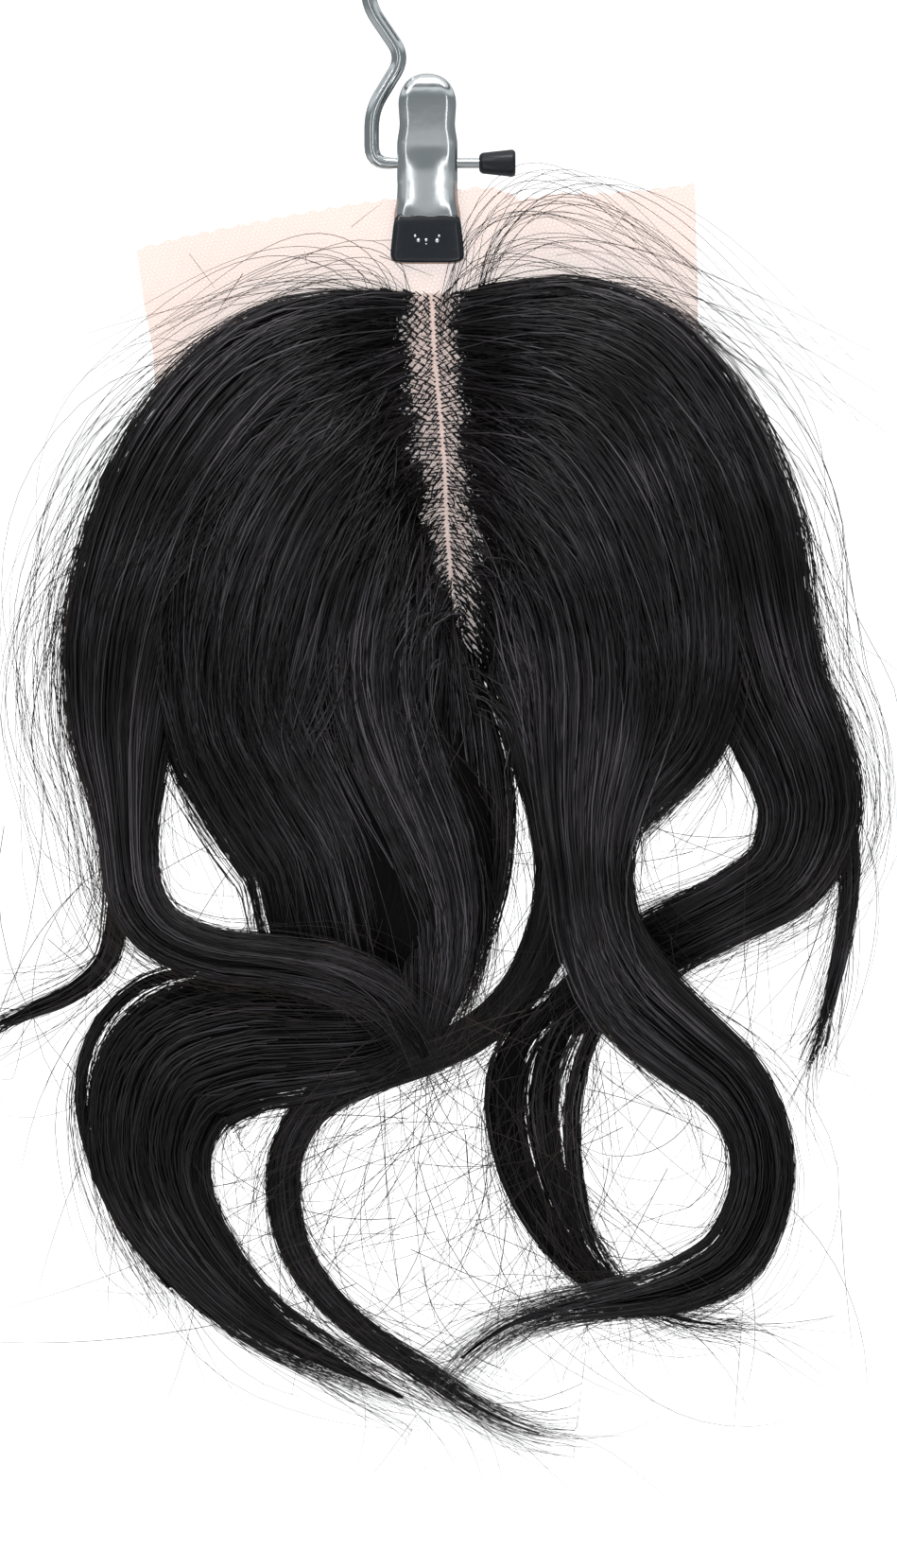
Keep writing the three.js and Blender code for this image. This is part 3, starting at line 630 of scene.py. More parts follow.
# the net is denser and browner in a band along the parting, which slants a little: partly the knotted
# lace, and partly painted shade from the hair on both sides
lane_slant, lane_length = 0.09, 0.095
beside = x + (z - hairline_z) * lane_slant
knotted_and_shaded_zone = s.math("LESS_THAN", z, hairline_z + 0.001)
knotted_and_shaded_zone = knotted_and_shaded_zone * s.math("GREATER_THAN", z, hairline_z - lane_length)
beside = s.math("MAXIMUM", 1.3 - beside * beside * 11000, 0.0)
knotted_and_shaded_zone = knotted_and_shaded_zone * s.math("MINIMUM", beside, 1.0)
bare = cloud.mix((0.74, 0.42, 0.31, 1), (0.82, 0.49, 0.37, 1))
feed(
    shader,
    base_color=knotted_and_shaded_zone.mix(bare, (0.66, 0.42, 0.35, 1)),
    alpha=cover * 0.16 + knotted_and_shaded_zone * 0.26 + 0.41,
    normal=s.node("ShaderNodeBump", None, {"Strength": 0.3, "Distance": 0.0002, "Height": cover}),
)
lace.data.materials.append(net)
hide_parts("lace_base")
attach(lace, "root")

# The hair: wavy human hair, knotted into the lace on both sides of the parting and combed into
# locks. Each row of a lock gives across, down, wide, front and thick, in shares of the sizes below.
hair_reach, hair_length, hair_depth = 0.111, 0.293, 0.032
left_locks = {
    "side": [
        (-0.015, 0.025, 0.13, 0.1, 0.08),
        (-0.15, 0.032, 0.2, 0.5, 0.5),
        (-0.3, 0.055, 0.29, 0.68, 0.72),
        (-0.435, 0.1, 0.33, 0.76, 0.86),
        (-0.55, 0.162, 0.34, 0.78, 0.9),
        (-0.625, 0.23, 0.33, 0.76, 0.86),
        (-0.675, 0.3, 0.3, 0.72, 0.76),
        (-0.695, 0.37, 0.24, 0.72, 0.66),
        (-0.69, 0.42, 0.175, 0.76, 0.58),
        (-0.683, 0.47, 0.125, 0.8, 0.5),
        (-0.665, 0.52, 0.12, 0.86, 0.42),
        (-0.6, 0.553, 0.115, 0.92, 0.38),
        (-0.48, 0.571, 0.11, 0.97, 0.36),
        (-0.34, 0.577, 0.11, 1.0, 0.34),
        (-0.2, 0.588, 0.11, 1.0, 0.32),
        (-0.09, 0.612, 0.085, 0.94, 0.24),
        (-0.02, 0.648, 0.04, 0.84, 0.12),
        (0.03, 0.685, 0.012, 0.76, 0.04),
    ],
    "crown": [
        (-0.005, 0.095, 0.26, 0.1, 0.08),
        (-0.1, 0.105, 0.3, 0.62, 0.6),
        (-0.235, 0.155, 0.36, 0.86, 0.86),
        (-0.34, 0.225, 0.39, 0.96, 1.0),
        (-0.4, 0.3, 0.41, 0.98, 1.0),
        (-0.405, 0.365, 0.4, 0.95, 0.96),
        (-0.335, 0.425, 0.38, 0.9, 0.84),
        (-0.25, 0.482, 0.35, 0.84, 0.72),
        (-0.21, 0.54, 0.35, 0.78, 0.64),
        (-0.18, 0.59, 0.3, 0.72, 0.54),
        (-0.155, 0.64, 0.12, 0.62, 0.3),
    ],
    "inner": [
        (0.02, 0.19, 0.36, 0.1, 0.08),
        (-0.055, 0.21, 0.32, 0.56, 0.54),
        (-0.125, 0.285, 0.3, 0.78, 0.8),
        (-0.135, 0.355, 0.31, 0.82, 0.86),
        (-0.09, 0.42, 0.31, 0.78, 0.76),
        (-0.02, 0.48, 0.29, 0.72, 0.6),
        (0.02, 0.535, 0.25, 0.68, 0.5),
        (0.012, 0.585, 0.22, 0.64, 0.38),
        (-0.002, 0.625, 0.14, 0.6, 0.24),
        (-0.012, 0.655, 0.05, 0.56, 0.1),
    ],
    "middle": [
        (0.055, 0.29, 0.1, 0.1, 0.08),
        (0.07, 0.34, 0.14, 0.38, 0.36),
        (0.1, 0.4, 0.17, 0.46, 0.34),
        (0.125, 0.46, 0.15, 0.46, 0.26),
        (0.12, 0.52, 0.12, 0.5, 0.24),
        (0.085, 0.575, 0.08, 0.54, 0.2),
        (0.04, 0.63, 0.025, 0.54, 0.08),
    ],
    "curl": [
        (-0.02, 0.625, 0.1, 0.5, 0.2),
        (-0.13, 0.64, 0.22, 0.62, 0.42),
        (-0.27, 0.643, 0.28, 0.72, 0.5),
        (-0.43, 0.647, 0.32, 0.78, 0.54),
        (-0.575, 0.672, 0.34, 0.78, 0.54),
        (-0.63, 0.73, 0.28, 0.74, 0.5),
        (-0.6, 0.787, 0.22, 0.68, 0.44),
        (-0.505, 0.842, 0.165, 0.62, 0.38),
        (-0.38, 0.888, 0.125, 0.56, 0.3),
        (-0.23, 0.922, 0.09, 0.5, 0.22),
        (-0.1, 0.947, 0.055, 0.46, 0.14),
        (-0.01, 0.963, 0.02, 0.44, 0.06),
    ],
    "curl_edge": [
        (-0.52, 0.585, 0.05, 0.66, 0.16),
        (-0.65, 0.596, 0.035, 0.62, 0.13),
        (-0.755, 0.635, 0.028, 0.56, 0.1),
        (-0.792, 0.69, 0.026, 0.52, 0.09),
        (-0.762, 0.75, 0.026, 0.5, 0.09),
        (-0.68, 0.815, 0.03, 0.5, 0.09),
        (-0.57, 0.868, 0.035, 0.5, 0.12),
    ],
    "wisp": [
        (-0.705, 0.47, 0.07, 0.6, 0.2),
        (-0.712, 0.53, 0.06, 0.55, 0.18),
        (-0.735, 0.575, 0.055, 0.5, 0.16),
        (-0.81, 0.603, 0.045, 0.46, 0.13),
        (-0.91, 0.62, 0.035, 0.42, 0.1),
        (-1.0, 0.635, 0.02, 0.4, 0.06),
        (-1.06, 0.65, 0.01, 0.38, 0.03),
    ],
}
right_locks = {
    "side": [
        (0.045, 0.02, 0.13, 0.1, 0.08),
        (0.17, 0.02, 0.2, 0.52, 0.5),
        (0.34, 0.034, 0.28, 0.7, 0.72),
        (0.5, 0.068, 0.3, 0.78, 0.86),
        (0.62, 0.135, 0.32, 0.8, 0.9),
        (0.695, 0.21, 0.32, 0.78, 0.86),
        (0.735, 0.28, 0.29, 0.74, 0.76),
        (0.785, 0.345, 0.26, 0.7, 0.66),
        (0.85, 0.4, 0.24, 0.68, 0.58),
        (0.875, 0.45, 0.22, 0.64, 0.5),
        (0.825, 0.5, 0.19, 0.56, 0.42),
        (0.7, 0.532, 0.16, 0.46, 0.34),
        (0.57, 0.556, 0.16, 0.36, 0.28),
        (0.44, 0.585, 0.17, 0.28, 0.24),
        (0.33, 0.62, 0.15, 0.26, 0.22),
        (0.25, 0.65, 0.06, 0.24, 0.12),
    ],
    "crown": [
        (0.05, 0.08, 0.2, 0.1, 0.08),
        (0.18, 0.08, 0.28, 0.62, 0.6),
        (0.34, 0.098, 0.3, 0.86, 0.86),
        (0.47, 0.162, 0.33, 0.94, 1.0),
        (0.555, 0.24, 0.33, 0.94, 1.0),
        (0.58, 0.315, 0.31, 0.9, 0.92),
        (0.555, 0.375, 0.26, 0.86, 0.78),
        (0.48, 0.42, 0.2, 0.84, 0.62),
        (0.41, 0.46, 0.14, 0.82, 0.46),
        (0.385, 0.51, 0.08, 0.78, 0.24),
    ],
    "front": [
        (0.065, 0.16, 0.3, 0.1, 0.08),
        (0.17, 0.165, 0.27, 0.6, 0.58),
        (0.295, 0.205, 0.3, 0.86, 0.86),
        (0.375, 0.265, 0.32, 0.96, 0.98),
        (0.405, 0.33, 0.32, 0.98, 0.96),
        (0.395, 0.39, 0.29, 0.98, 0.86),
        (0.375, 0.445, 0.22, 1.0, 0.7),
        (0.375, 0.5, 0.17, 1.0, 0.58),
        (0.4, 0.555, 0.18, 0.98, 0.52),
        (0.47, 0.606, 0.195, 0.92, 0.5),
        (0.58, 0.645, 0.18, 0.82, 0.46),
        (0.69, 0.68, 0.155, 0.74, 0.42),
        (0.755, 0.725, 0.135, 0.68, 0.4),
        (0.762, 0.778, 0.135, 0.64, 0.38),
        (0.7, 0.83, 0.14, 0.6, 0.34),
        (0.585, 0.856, 0.12, 0.58, 0.28),
        (0.45, 0.868, 0.08, 0.6, 0.2),
        (0.31, 0.876, 0.055, 0.6, 0.15),
        (0.185, 0.892, 0.042, 0.56, 0.11),
        (0.085, 0.918, 0.03, 0.52, 0.08),
        (0.02, 0.945, 0.014, 0.5, 0.04),
    ],
    "under": [
        (0.08, 0.24, 0.3, 0.1, 0.08),
        (0.17, 0.262, 0.22, 0.46, 0.44),
        (0.235, 0.325, 0.2, 0.6, 0.6),
        (0.27, 0.385, 0.17, 0.56, 0.52),
        (0.295, 0.44, 0.13, 0.44, 0.36),
        (0.305, 0.5, 0.105, 0.3, 0.24),
        (0.28, 0.555, 0.1, 0.2, 0.18),
        (0.205, 0.608, 0.085, 0.14, 0.15),
        (0.09, 0.645, 0.08, 0.1, 0.14),
        (-0.06, 0.667, 0.08, 0.08, 0.14),
        (-0.185, 0.685, 0.078, 0.08, 0.14),
        (-0.28, 0.712, 0.072, 0.1, 0.16),
        (-0.33, 0.757, 0.068, 0.14, 0.18),
        (-0.315, 0.815, 0.066, 0.18, 0.18),
        (-0.25, 0.86, 0.06, 0.22, 0.16),
        (-0.14, 0.9, 0.05, 0.25, 0.14),
        (-0.01, 0.932, 0.042, 0.27, 0.11),
        (0.12, 0.965, 0.032, 0.28, 0.08),
        (0.24, 0.985, 0.02, 0.28, 0.05),
        (0.34, 0.99, 0.01, 0.28, 0.03),
    ],
    "ring_outer": [
        (0.37, 0.6, 0.08, 0.2, 0.14),
        (0.24, 0.632, 0.085, 0.24, 0.18),
        (0.18, 0.678, 0.085, 0.26, 0.18),
        (0.185, 0.735, 0.08, 0.28, 0.18),
        (0.245, 0.795, 0.07, 0.3, 0.16),
        (0.355, 0.845, 0.06, 0.3, 0.14),
        (0.48, 0.872, 0.045, 0.3, 0.1),
        (0.6, 0.889, 0.028, 0.3, 0.06),
        (0.72, 0.893, 0.012, 0.3, 0.03),
    ],
    "ring_middle": [
        (0.4, 0.595, 0.08, 0.2, 0.14),
        (0.31, 0.635, 0.08, 0.26, 0.18),
        (0.265, 0.69, 0.075, 0.28, 0.18),
        (0.28, 0.75, 0.065, 0.3, 0.17),
        (0.335, 0.81, 0.05, 0.32, 0.14),
        (0.405, 0.848, 0.03, 0.34, 0.1),
    ],
    "ring_inner": [
        (0.44, 0.6, 0.05, 0.26, 0.12),
        (0.37, 0.645, 0.05, 0.3, 0.14),
        (0.335, 0.695, 0.045, 0.32, 0.14),
        (0.335, 0.755, 0.04, 0.34, 0.13),
        (0.37, 0.815, 0.035, 0.38, 0.12),
        (0.43, 0.852, 0.03, 0.42, 0.1),
    ],
    "wisp": [
        (0.915, 0.41, 0.08, 0.5, 0.2),
        (0.955, 0.46, 0.06, 0.46, 0.18),
        (0.968, 0.51, 0.045, 0.42, 0.14),
        (0.95, 0.565, 0.035, 0.4, 0.1),
        (0.915, 0.62, 0.025, 0.38, 0.06),
        (0.875, 0.665, 0.01, 0.36, 0.03),
    ],
}
sides = {"left": left_locks, "right": right_locks}
rooted = {"side", "crown", "inner", "middle", "front", "under"}
toward_back = np.array([0.0, 1.0, 0.0])
toward_front = -toward_back
# the roots lie just in front of the net, and the parting's end is given in downs
root_y = -0.0009
parting_end = 0.36
rng = np.random.default_rng(7)


def spread(low, high, count):
    """A random number from low to high for each of count strands, as a column."""
    return rng.uniform(low, high, (count, 1))


def course(steps):
    """From 0 at the start of a strand to 1 at its end, as a row."""
    return np.linspace(0, 1, steps)[None]


def smoothstep(low, high, value):
    """0 below low and 1 above high, with a soft rise between them."""
    t = np.clip((value - low) / (high - low), 0, 1)
    return t * t * (3 - 2 * t)


def lock_frame(rows, at):
    """The middle of a lock, its sideways direction and its two half sizes, at places along it."""
    across, down, wide, front, thick = np.moveaxis(smooth_rows(rows, at), -1, 0)
    ahead = smooth_rows(rows, np.asarray(at) + 0.05) - smooth_rows(rows, np.asarray(at) - 0.05)
    dx, dz = ahead[..., 0] * hair_reach, -ahead[..., 1] * hair_length
    length = np.hypot(dx, dz) + 1e-9
    side = np.stack([dz / length, 0 * dx, -dx / length], -1)
    y = -0.0005 - (front - thick / 2) * hair_depth
    middle = np.stack([across * hair_reach, y, hairline_z - down * hair_length], -1)
    return middle, side, wide * hair_reach / 2, thick * hair_depth / 2


class Lock:
    """A lock along its length: run is metres from its root, work is segments of a strand."""

    def __init__(self, side, name, rows):
        self.side, self.name, self.rows = (-1 if side == "left" else 1), name, rows
        self.rooted = name in rooted
        self.at = np.linspace(0, len(rows) - 1, 400)
        middle = lock_frame(rows, self.at)[0]
        step = np.linalg.norm(np.diff(middle, axis=0), axis=1)
        self.run = np.concatenate([[0], np.cumsum(step)])
        along = np.gradient(middle, self.run, axis=0)
        bend = np.linalg.norm(np.gradient(along, self.run, axis=0), axis=1)
        chord = np.clip(np.sqrt(0.0016 / (bend + 1e-6)), 0.0055, 0.015)
        self.work = np.concatenate([[0], np.cumsum(step / chord[1:])])
        self.length = self.run[-1]
        self.tip = (middle[-1] - middle[-9]) / np.linalg.norm(middle[-1] - middle[-9])

    def frame(self, run):
        beyond = np.maximum(0, run - self.length)[..., None]
        middle, sideways, half, depth = lock_frame(self.rows, np.interp(run, self.run, self.at))
        return middle + beyond * self.tip, sideways, half, depth

    def spaced(self, begin, end):
        """Runs from begin to end, closer together where the lock bends."""
        run = np.append(self.run, self.length + 0.05)
        work = np.append(self.work, self.work[-1] + 5)
        low, high = np.interp(begin, run, work), np.interp(end, run, work)
        steps = int(np.quantile(high - low, 0.9)) + 3
        return np.interp(low + (high - low) * course(steps), work, run)


hair = {
    side: {name: Lock(side, name, rows) for name, rows in locks.items()} for side, locks in sides.items()
}
# where the parting runs: down and across
lane = np.array(
    [
        (0.0, 0.01),
        (0.05, 0.015),
        (0.1, 0.03),
        (0.15, 0.04),
        (0.2, 0.045),
        (0.25, 0.055),
        (0.3, 0.08),
        (0.32, 0.095),
    ]
)


def lane_x(z):
    """Where the middle of the parting is at the height z."""
    return hair_reach * np.interp((hairline_z - z) / hair_length, lane[:, 0], lane[:, 1])


def open_zone(z, out):
    """How far from the parting the net still shows between the hairs, on the side out."""
    down = (hairline_z - z) / hair_length
    left = np.interp(
        down,
        [0, 0.02, 0.06, 0.1, 0.15, 0.2, 0.25, 0.28, 0.3, 0.33, 0.36],
        [0.007, 0.0095, 0.0115, 0.011, 0.0095, 0.0075, 0.0035, 0.0018, -0.0004, -0.002, -0.05],
    )
    right = np.interp(
        down,
        [0, 0.06, 0.1, 0.15, 0.19, 0.22, 0.26, 0.31, 0.335, 0.36],
        [0.008, 0.0098, 0.009, 0.0065, 0.0105, 0.012, 0.0085, 0.006, 0.002, -0.05],
    )
    ragged = 0.0012 * np.sin(z * 410 + out * 1.3) + 0.0011 * np.sin(z * 1130 + out * 2.1)
    return np.where(np.asarray(out) < 0, left, right) + ragged * np.interp(down, [0.22, 0.3], [1, 0.2])


def drawn_in(value, limit, room):
    """The value, squeezed into the room beyond the limit; a negative room is below it."""
    past = np.maximum(0, (value - limit) / room)
    return np.where(past > 0, limit + room * np.tanh(past), value)


def over_lace(places, gap):
    """The places with none of them pushed through the lace, and the farthest ones drawn in."""
    x, y, z = places[..., 0], places[..., 1], places[..., 2]
    lace_end = hairline_z - knotted - back_margin
    covers = (np.abs(x - lace_shift) < lace_half + 0.001) & (z > lace_end - 0.002)
    y = np.where(covers, np.minimum(y, lace_back(x) - gap), y)
    x = drawn_in(drawn_in(x, -0.12, -0.01), 0.115, 0.008)
    return np.stack([x, y, drawn_in(z, -0.4, -0.014)], -1)


def hair_finish(name, dark, light, roughness, specular, bump=0.0):
    """Black hair: nearly black, cooler or browner from strand to strand, with a soft sheen."""
    material, shader, s = finish(name, roughness=roughness, specular_ior_level=specular)
    if bump:
        flow = s.node("ShaderNodeAttribute", {"attribute_name": "flow"}, out=1)
        tone = s.node("ShaderNodeTexNoise", None, {"Vector": flow, "Scale": 1.0, "Detail": 3})
        ridge = s.node("ShaderNodeBump", None, {"Strength": bump, "Distance": 0.0006, "Height": tone})
        feed(shader, normal=ridge)
    else:
        tone = s.node("ShaderNodeAttribute", {"attribute_name": "tone"}, out=2)
        place = s.node("ShaderNodeTexCoord", out=3)
        # broad lighter and darker patches over the strands' tone, a painted sheen
        cloud = s.node("ShaderNodeTexNoise", None, {"Vector": place, "Scale": 30, "Detail": 2})
        tone = tone * (cloud**3 * 6 + 0.12)
    feed(
        shader,
        base_color=tone.mix((*dark, 1), (*light, 1)),
        roughness=tone * -0.14 + (roughness + 0.07),
    )
    return material


lock_black = hair_finish(
    "combed_hair", (0.0006, 0.0005, 0.0006), (0.004, 0.0035, 0.004), 0.55, 0.06, bump=0.9
)

# The heart of each lock is a furrowed body, a little thinner than the lock, which the strands
# cover. Fillets lie in the grooves between locks that run side by side. Near the parting the
# bodies stop short and thin out, so that the net shows between the knots there.
ring_points = 48
body_share = 0.89
# the two locks, and how far from their roots the fillet reaches
fillets = {
    "left": [("side", "crown", 0.118), ("crown", "inner", 0.148), ("inner", "middle", 0.17)],
    "right": [("side", "crown", 0.1), ("crown", "front", 0.14), ("front", "under", 0.1)],
}
for side, locks in hair.items():
    out = -1 if side == "left" else 1
    places, faces, flows, count = [], [], [], 0
    tubes = []
    for lock in locks.values():
        run = np.linspace(0.002, lock.length * 0.97, max(24, int(lock.length / 0.0035)))
        middle, sideways, half, depth = lock.frame(run)
        hidden_end = lock.name in ("crown", "inner") or lock is hair["right"]["side"]
        taper = 0.06 if hidden_end else 0.2 if lock.name == "side" else 0.7
        swell = body_share - taper * smoothstep(0.6, 1.0, run / lock.length)
        if not lock.rooted:
            swell = swell * (0.6 + 0.4 * smoothstep(0, 0.05, run))
        tubes.append((run, middle, sideways, half * swell, depth * swell))
    for first, second, reach in fillets[side]:
        reach = min(reach, 0.93 * min(locks[first].length, locks[second].length))
        run = np.linspace(0.004, reach, 46)
        a, b = locks[first].frame(run), locks[second].frame(run)
        between = b[0] - a[0]
        apart = np.linalg.norm(between[:, ::2], axis=1)
        depth = 0.85 * np.minimum(a[3], b[3]) * (1 - 0.75 * smoothstep(0.75, 1, run / reach))
        front = ((a[0] + b[0]) / 2)[:, 1] - (a[3] + b[3]) * 0.43
        middle = (a[0] + b[0]) / 2
        middle[:, 1] = front + depth
        sideways = between * np.array([1, 0, 1]) / apart[:, None]
        width = (0.5 * apart + 0.003) * (1 - 0.5 * smoothstep(0.8, 1, run / reach))
        tubes.append((run, middle, sideways, width, depth))
    for run, middle, sideways, half, depth in tubes:
        around = np.linspace(0, 2 * math.pi, ring_points, endpoint=False)
        phase = rng.uniform(0, 2 * math.pi, 7)
        furrow = sum(
            np.sin(around[None] * k + p + 0.5 * np.sin(run[:, None] * 25 + p)) / k**0.4
            for k, p in zip((5, 7, 9, 12, 15, 18, 21), phase)
        )
        reach = 1 + 0.022 * furrow
        ring = (
            middle[:, None]
            + sideways[:, None] * (half[:, None] * reach * np.cos(around))[..., None]
            + toward_back * (depth[:, None] * reach * np.sin(around))[..., None]
        )
        x, y, z = ring[..., 0], ring[..., 1], ring[..., 2]
        ragged = 0.0008 * np.sin(z * 2300 + phase[0]) + 0.0006 * np.sin(z * 5100 + phase[1])
        edge = 1.25 * open_zone(z, out) + ragged
        off = (x - lane_x(z)) * out
        part = (z > hairline_z - parting_end * hair_length) & (off < 0.042)
        rise = smoothstep(0, 0.028, off - edge)
        y = np.where(part, root_y + (y - root_y) * rise, y)
        x = np.where(part, lane_x(z) + out * np.maximum(off, edge), x)
        ring = over_lace(np.stack([x, y, z], -1), 0.0012)
        n, m = ring.shape[:2]
        base = count + np.arange(n * m).reshape(n, m)
        nxt = np.roll(base, -1, 1)
        places.append(ring.reshape(-1, 3))
        faces += np.stack([base[:-1], base[1:], nxt[1:], nxt[:-1]], -1).reshape(-1, 4).tolist()
        faces += [base[0].tolist(), base[-1][::-1].tolist()]
        girth = float((half + depth).mean()) * 1600
        along = run[:, None]
        flow = [np.cos(around) * girth + 0 * along, np.sin(around) * girth + 0 * along]
        flow.append(along * 28 + 10 * phase[0] + 0 * around)
        flows.append(np.stack(flow, -1).reshape(-1, 3))
        count += n * m
    mesh = bpy.data.meshes.new(f"hair_{side}_locks")
    mesh.from_pydata(np.concatenate(places).tolist(), [], faces)
    mesh.attributes.new("flow", "FLOAT_VECTOR", "POINT").data.foreach_set(
        "vector", np.concatenate(flows).astype(np.float32).ravel()
    )
    mesh.materials.append(lock_black)
    mesh.shade_smooth()
    body = bpy.data.objects.new(mesh.name, mesh)
    bpy.context.collection.objects.link(body)
    select_only(body)
    face_outwards()
    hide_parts(f"hair_{side}")
    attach(body, "root")


# The strands lie over the bodies in bunches that draw together towards the tip. They leave the
# lace one by one at their knots, cross the grooves between the locks, and spread at their tips.
class Strands:
    """Many strands in one mesh: each is a ridge that looks outwards, or a closed tube."""

    def __init__(self):
        self.places, self.quads, self.tones, self.ends, self.count = [], [], [], [], 0

    def add(self, paths, outward, radii, tone, closed=False):
        n, m, _ = paths.shape
        along = np.gradient(paths, axis=1)
        along /= np.linalg.norm(along, axis=2, keepdims=True) + 1e-12
        beside = np.cross(along, outward)
        beside /= np.linalg.norm(beside, axis=2, keepdims=True) + 1e-12
        above = np.cross(beside, along)
        radii = radii[..., None] + 0 * paths[..., :1]
        ring = np.stack([paths - beside * radii, paths + above * radii * 0.8, paths + beside * radii], 2)
        self.places.append(ring.reshape(-1, 3))
        base = self.count + 3 * np.arange(n * m).reshape(n, m)
        for k in range(3 if closed else 2):
            j = (k + 1) % 3
            quad = [base[:, :-1] + k, base[:, 1:] + k, base[:, 1:] + j, base[:, :-1] + j]
            self.quads.append(np.stack(quad, -1).reshape(-1, 4))
        if closed:
            self.ends.append(np.stack([base[:, 0], base[:, 0] + 1, base[:, 0] + 2], -1))
            self.ends.append(np.stack([base[:, -1] + 2, base[:, -1] + 1, base[:, -1]], -1))
        self.tones.append(np.repeat((tone + np.zeros((n, m))).ravel(), 3))
        self.count += 3 * n * m

    def piece(self, name, material):
        quads = np.concatenate(self.quads)
        ends = np.concatenate(self.ends) if self.ends else np.zeros((0, 3), int)
        mesh = bpy.data.meshes.new(name)
        mesh.vertices.add(self.count)
        mesh.vertices.foreach_set("co", np.concatenate(self.places).astype(np.float32).ravel())
        mesh.loops.add(quads.size + ends.size)
        corners = np.concatenate([quads.ravel(), ends.ravel()])
        mesh.loops.foreach_set("vertex_index", corners.astype(np.int32))
        mesh.polygons.add(len(quads) + len(ends))
        starts = np.concatenate([np.arange(len(quads)) * 4, quads.size + np.arange(len(ends)) * 3])
        mesh.polygons.foreach_set("loop_start", starts.astype(np.int32))
        mesh.update(calc_edges=True)
        mesh.shade_smooth()
        tones = mesh.attributes.new("tone", "FLOAT", "POINT")
        tones.data.foreach_set("value", np.concatenate(self.tones).astype(np.float32))
        mesh.materials.append(material)
        piece = bpy.data.objects.new(name, mesh)
        bpy.context.collection.objects.link(piece)
        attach(piece, "root")


def slow(count, u, waves, size):
    """A smooth random course for each strand, along its length."""
    total = 0
    for k in (1, 2, 3):
        rate = spread(0.5, 1.5, count) * waves * k / 2
        total = total + np.sin(2 * math.pi * rate * u + spread(0, 2 * math.pi, count)) / k
    return total * size


def on_surface(lock, run, turn, reach):
    """The places at an angle round the lock, and the direction that looks outwards there."""
    middle, sideways, half, depth = lock.frame(run)
    across = sideways * np.cos(turn)[..., None]
    deep = toward_back * np.sin(turn)[..., None]
    places = middle + across * (half * reach)[..., None] + deep * (depth * reach)[..., None]
    total = half + depth + 1e-9
    outward = across * (depth / total)[..., None] + deep * (half / total)[..., None]
    return places, outward


def strands_over(lock, count, begin, end, front, other=None, join=(0.05, 0.1), roots=None):
    """Paths over a lock in the angle range front, or between two locks, which join by join's end."""
    run = lock.spaced(begin, end)
    u = course(run.shape[1])
    bunches = max(6, count // 9)
    bunch = rng.integers(0, bunches, count)
    turn = rng.uniform(*front, bunches)[bunch][:, None]
    turn = turn + rng.normal(0, 0.2, (count, 1)) * (1 - 0.5 * smoothstep(0.3, 1, u))
    turn = turn + slow(bunches, u, 0.8, 0.07)[bunch] + slow(count, u, 1.3, 0.04)
    reach = 0.985 + rng.normal(0, 0.03, bunches)[bunch][:, None] + rng.normal(0, 0.028, (count, 1))
    stray = rng.exponential(0.05, (count, 1)) * (spread(0, 1, count) < 0.3)
    reach = reach + stray + slow(count, u, 1.5, 0.012)
    paths, outward = on_surface(lock, run, turn, reach)
    if other:
        first = spread(0.03, 0.97, count)
        share = first + (np.round(first) - first) * smoothstep(*join, run)
        there, facing = on_surface(other, run, turn, reach)
        paths = paths + (there - paths) * share[..., None]
        outward = outward + (facing - outward) * share[..., None]
    if roots:
        # from the top of its stretch of the parting for a strand that lies on the upper side
        low, high = roots
        place = first if other else 0.5 + 0.5 * lock.side * np.cos(turn[:, :1])
        place = np.clip(place + rng.normal(0, 0.12, (count, 1)), -0.05, 1.05)
        z = hairline_z - hair_length * (low + (high - low) * place)
        off = open_zone(z, lock.side) * (0.5 + 0.9 * spread(0, 1, count) ** 0.7)
        fade = 1 - smoothstep(0, 0.036, run - run[:, :1])
        paths[..., 0] += (lane_x(z) + lock.side * off - paths[:, :1, 0]) * fade
        paths[..., 2] += (z - paths[:, :1, 2]) * fade
        lift = smoothstep(-0.001, 0.017, run - run[:, :1])
        paths[..., 1] = root_y + (paths[..., 1] - root_y) * lift
        outward = outward + toward_front * (1 - lift)[..., None]
    # the tips part from the lock
    tips = rng.normal(0, 1, (count, 1, 3)) * np.array([0.003, 0.002, 0.003])
    paths = paths + tips * (smoothstep(0.7, 1.0, run / lock.length) ** 2)[..., None]
    outward = outward + rng.normal(0, 0.35, (count, 1, 3))
    return over_lace(paths, 0.0008), outward, u


def ragged_ends(lock, count, mean):
    """Where strands end: most near the tip, and none over 0.4 of the length before it."""
    return lock.length - np.minimum(0.4 * lock.length, rng.exponential(mean, (count, 1)))


def strand_tones(count):
    """Most strands are nearly black, and about one in five is lighter."""
    light = spread(0, 1, count) < 0.22
    return np.where(light, spread(0.35, 1, count), spread(0, 0.2, count))


strand_black = hair_finish(
    "hair_strands", (0.0008, 0.0007, 0.0009), (0.085, 0.077, 0.086), 0.33, 0.27
)
strand_radius = (0.00008, 0.0002)
# strands per metre of girth, in front of and behind a rooted lock, and all round a free one
front_strands, back_strands, free_strands = 11500, 4500, 21000
# share of the parting, in downs, that each rooted lock grows from
root_range = {
    "left": {"side": (0.0, 0.07), "crown": (0.05, 0.17), "inner": (0.15, 0.29), "middle": (0.26, 0.335)},
    "right": {"side": (0.0, 0.06), "crown": (0.04, 0.13), "front": (0.11, 0.24), "under": (0.22, 0.335)},
}
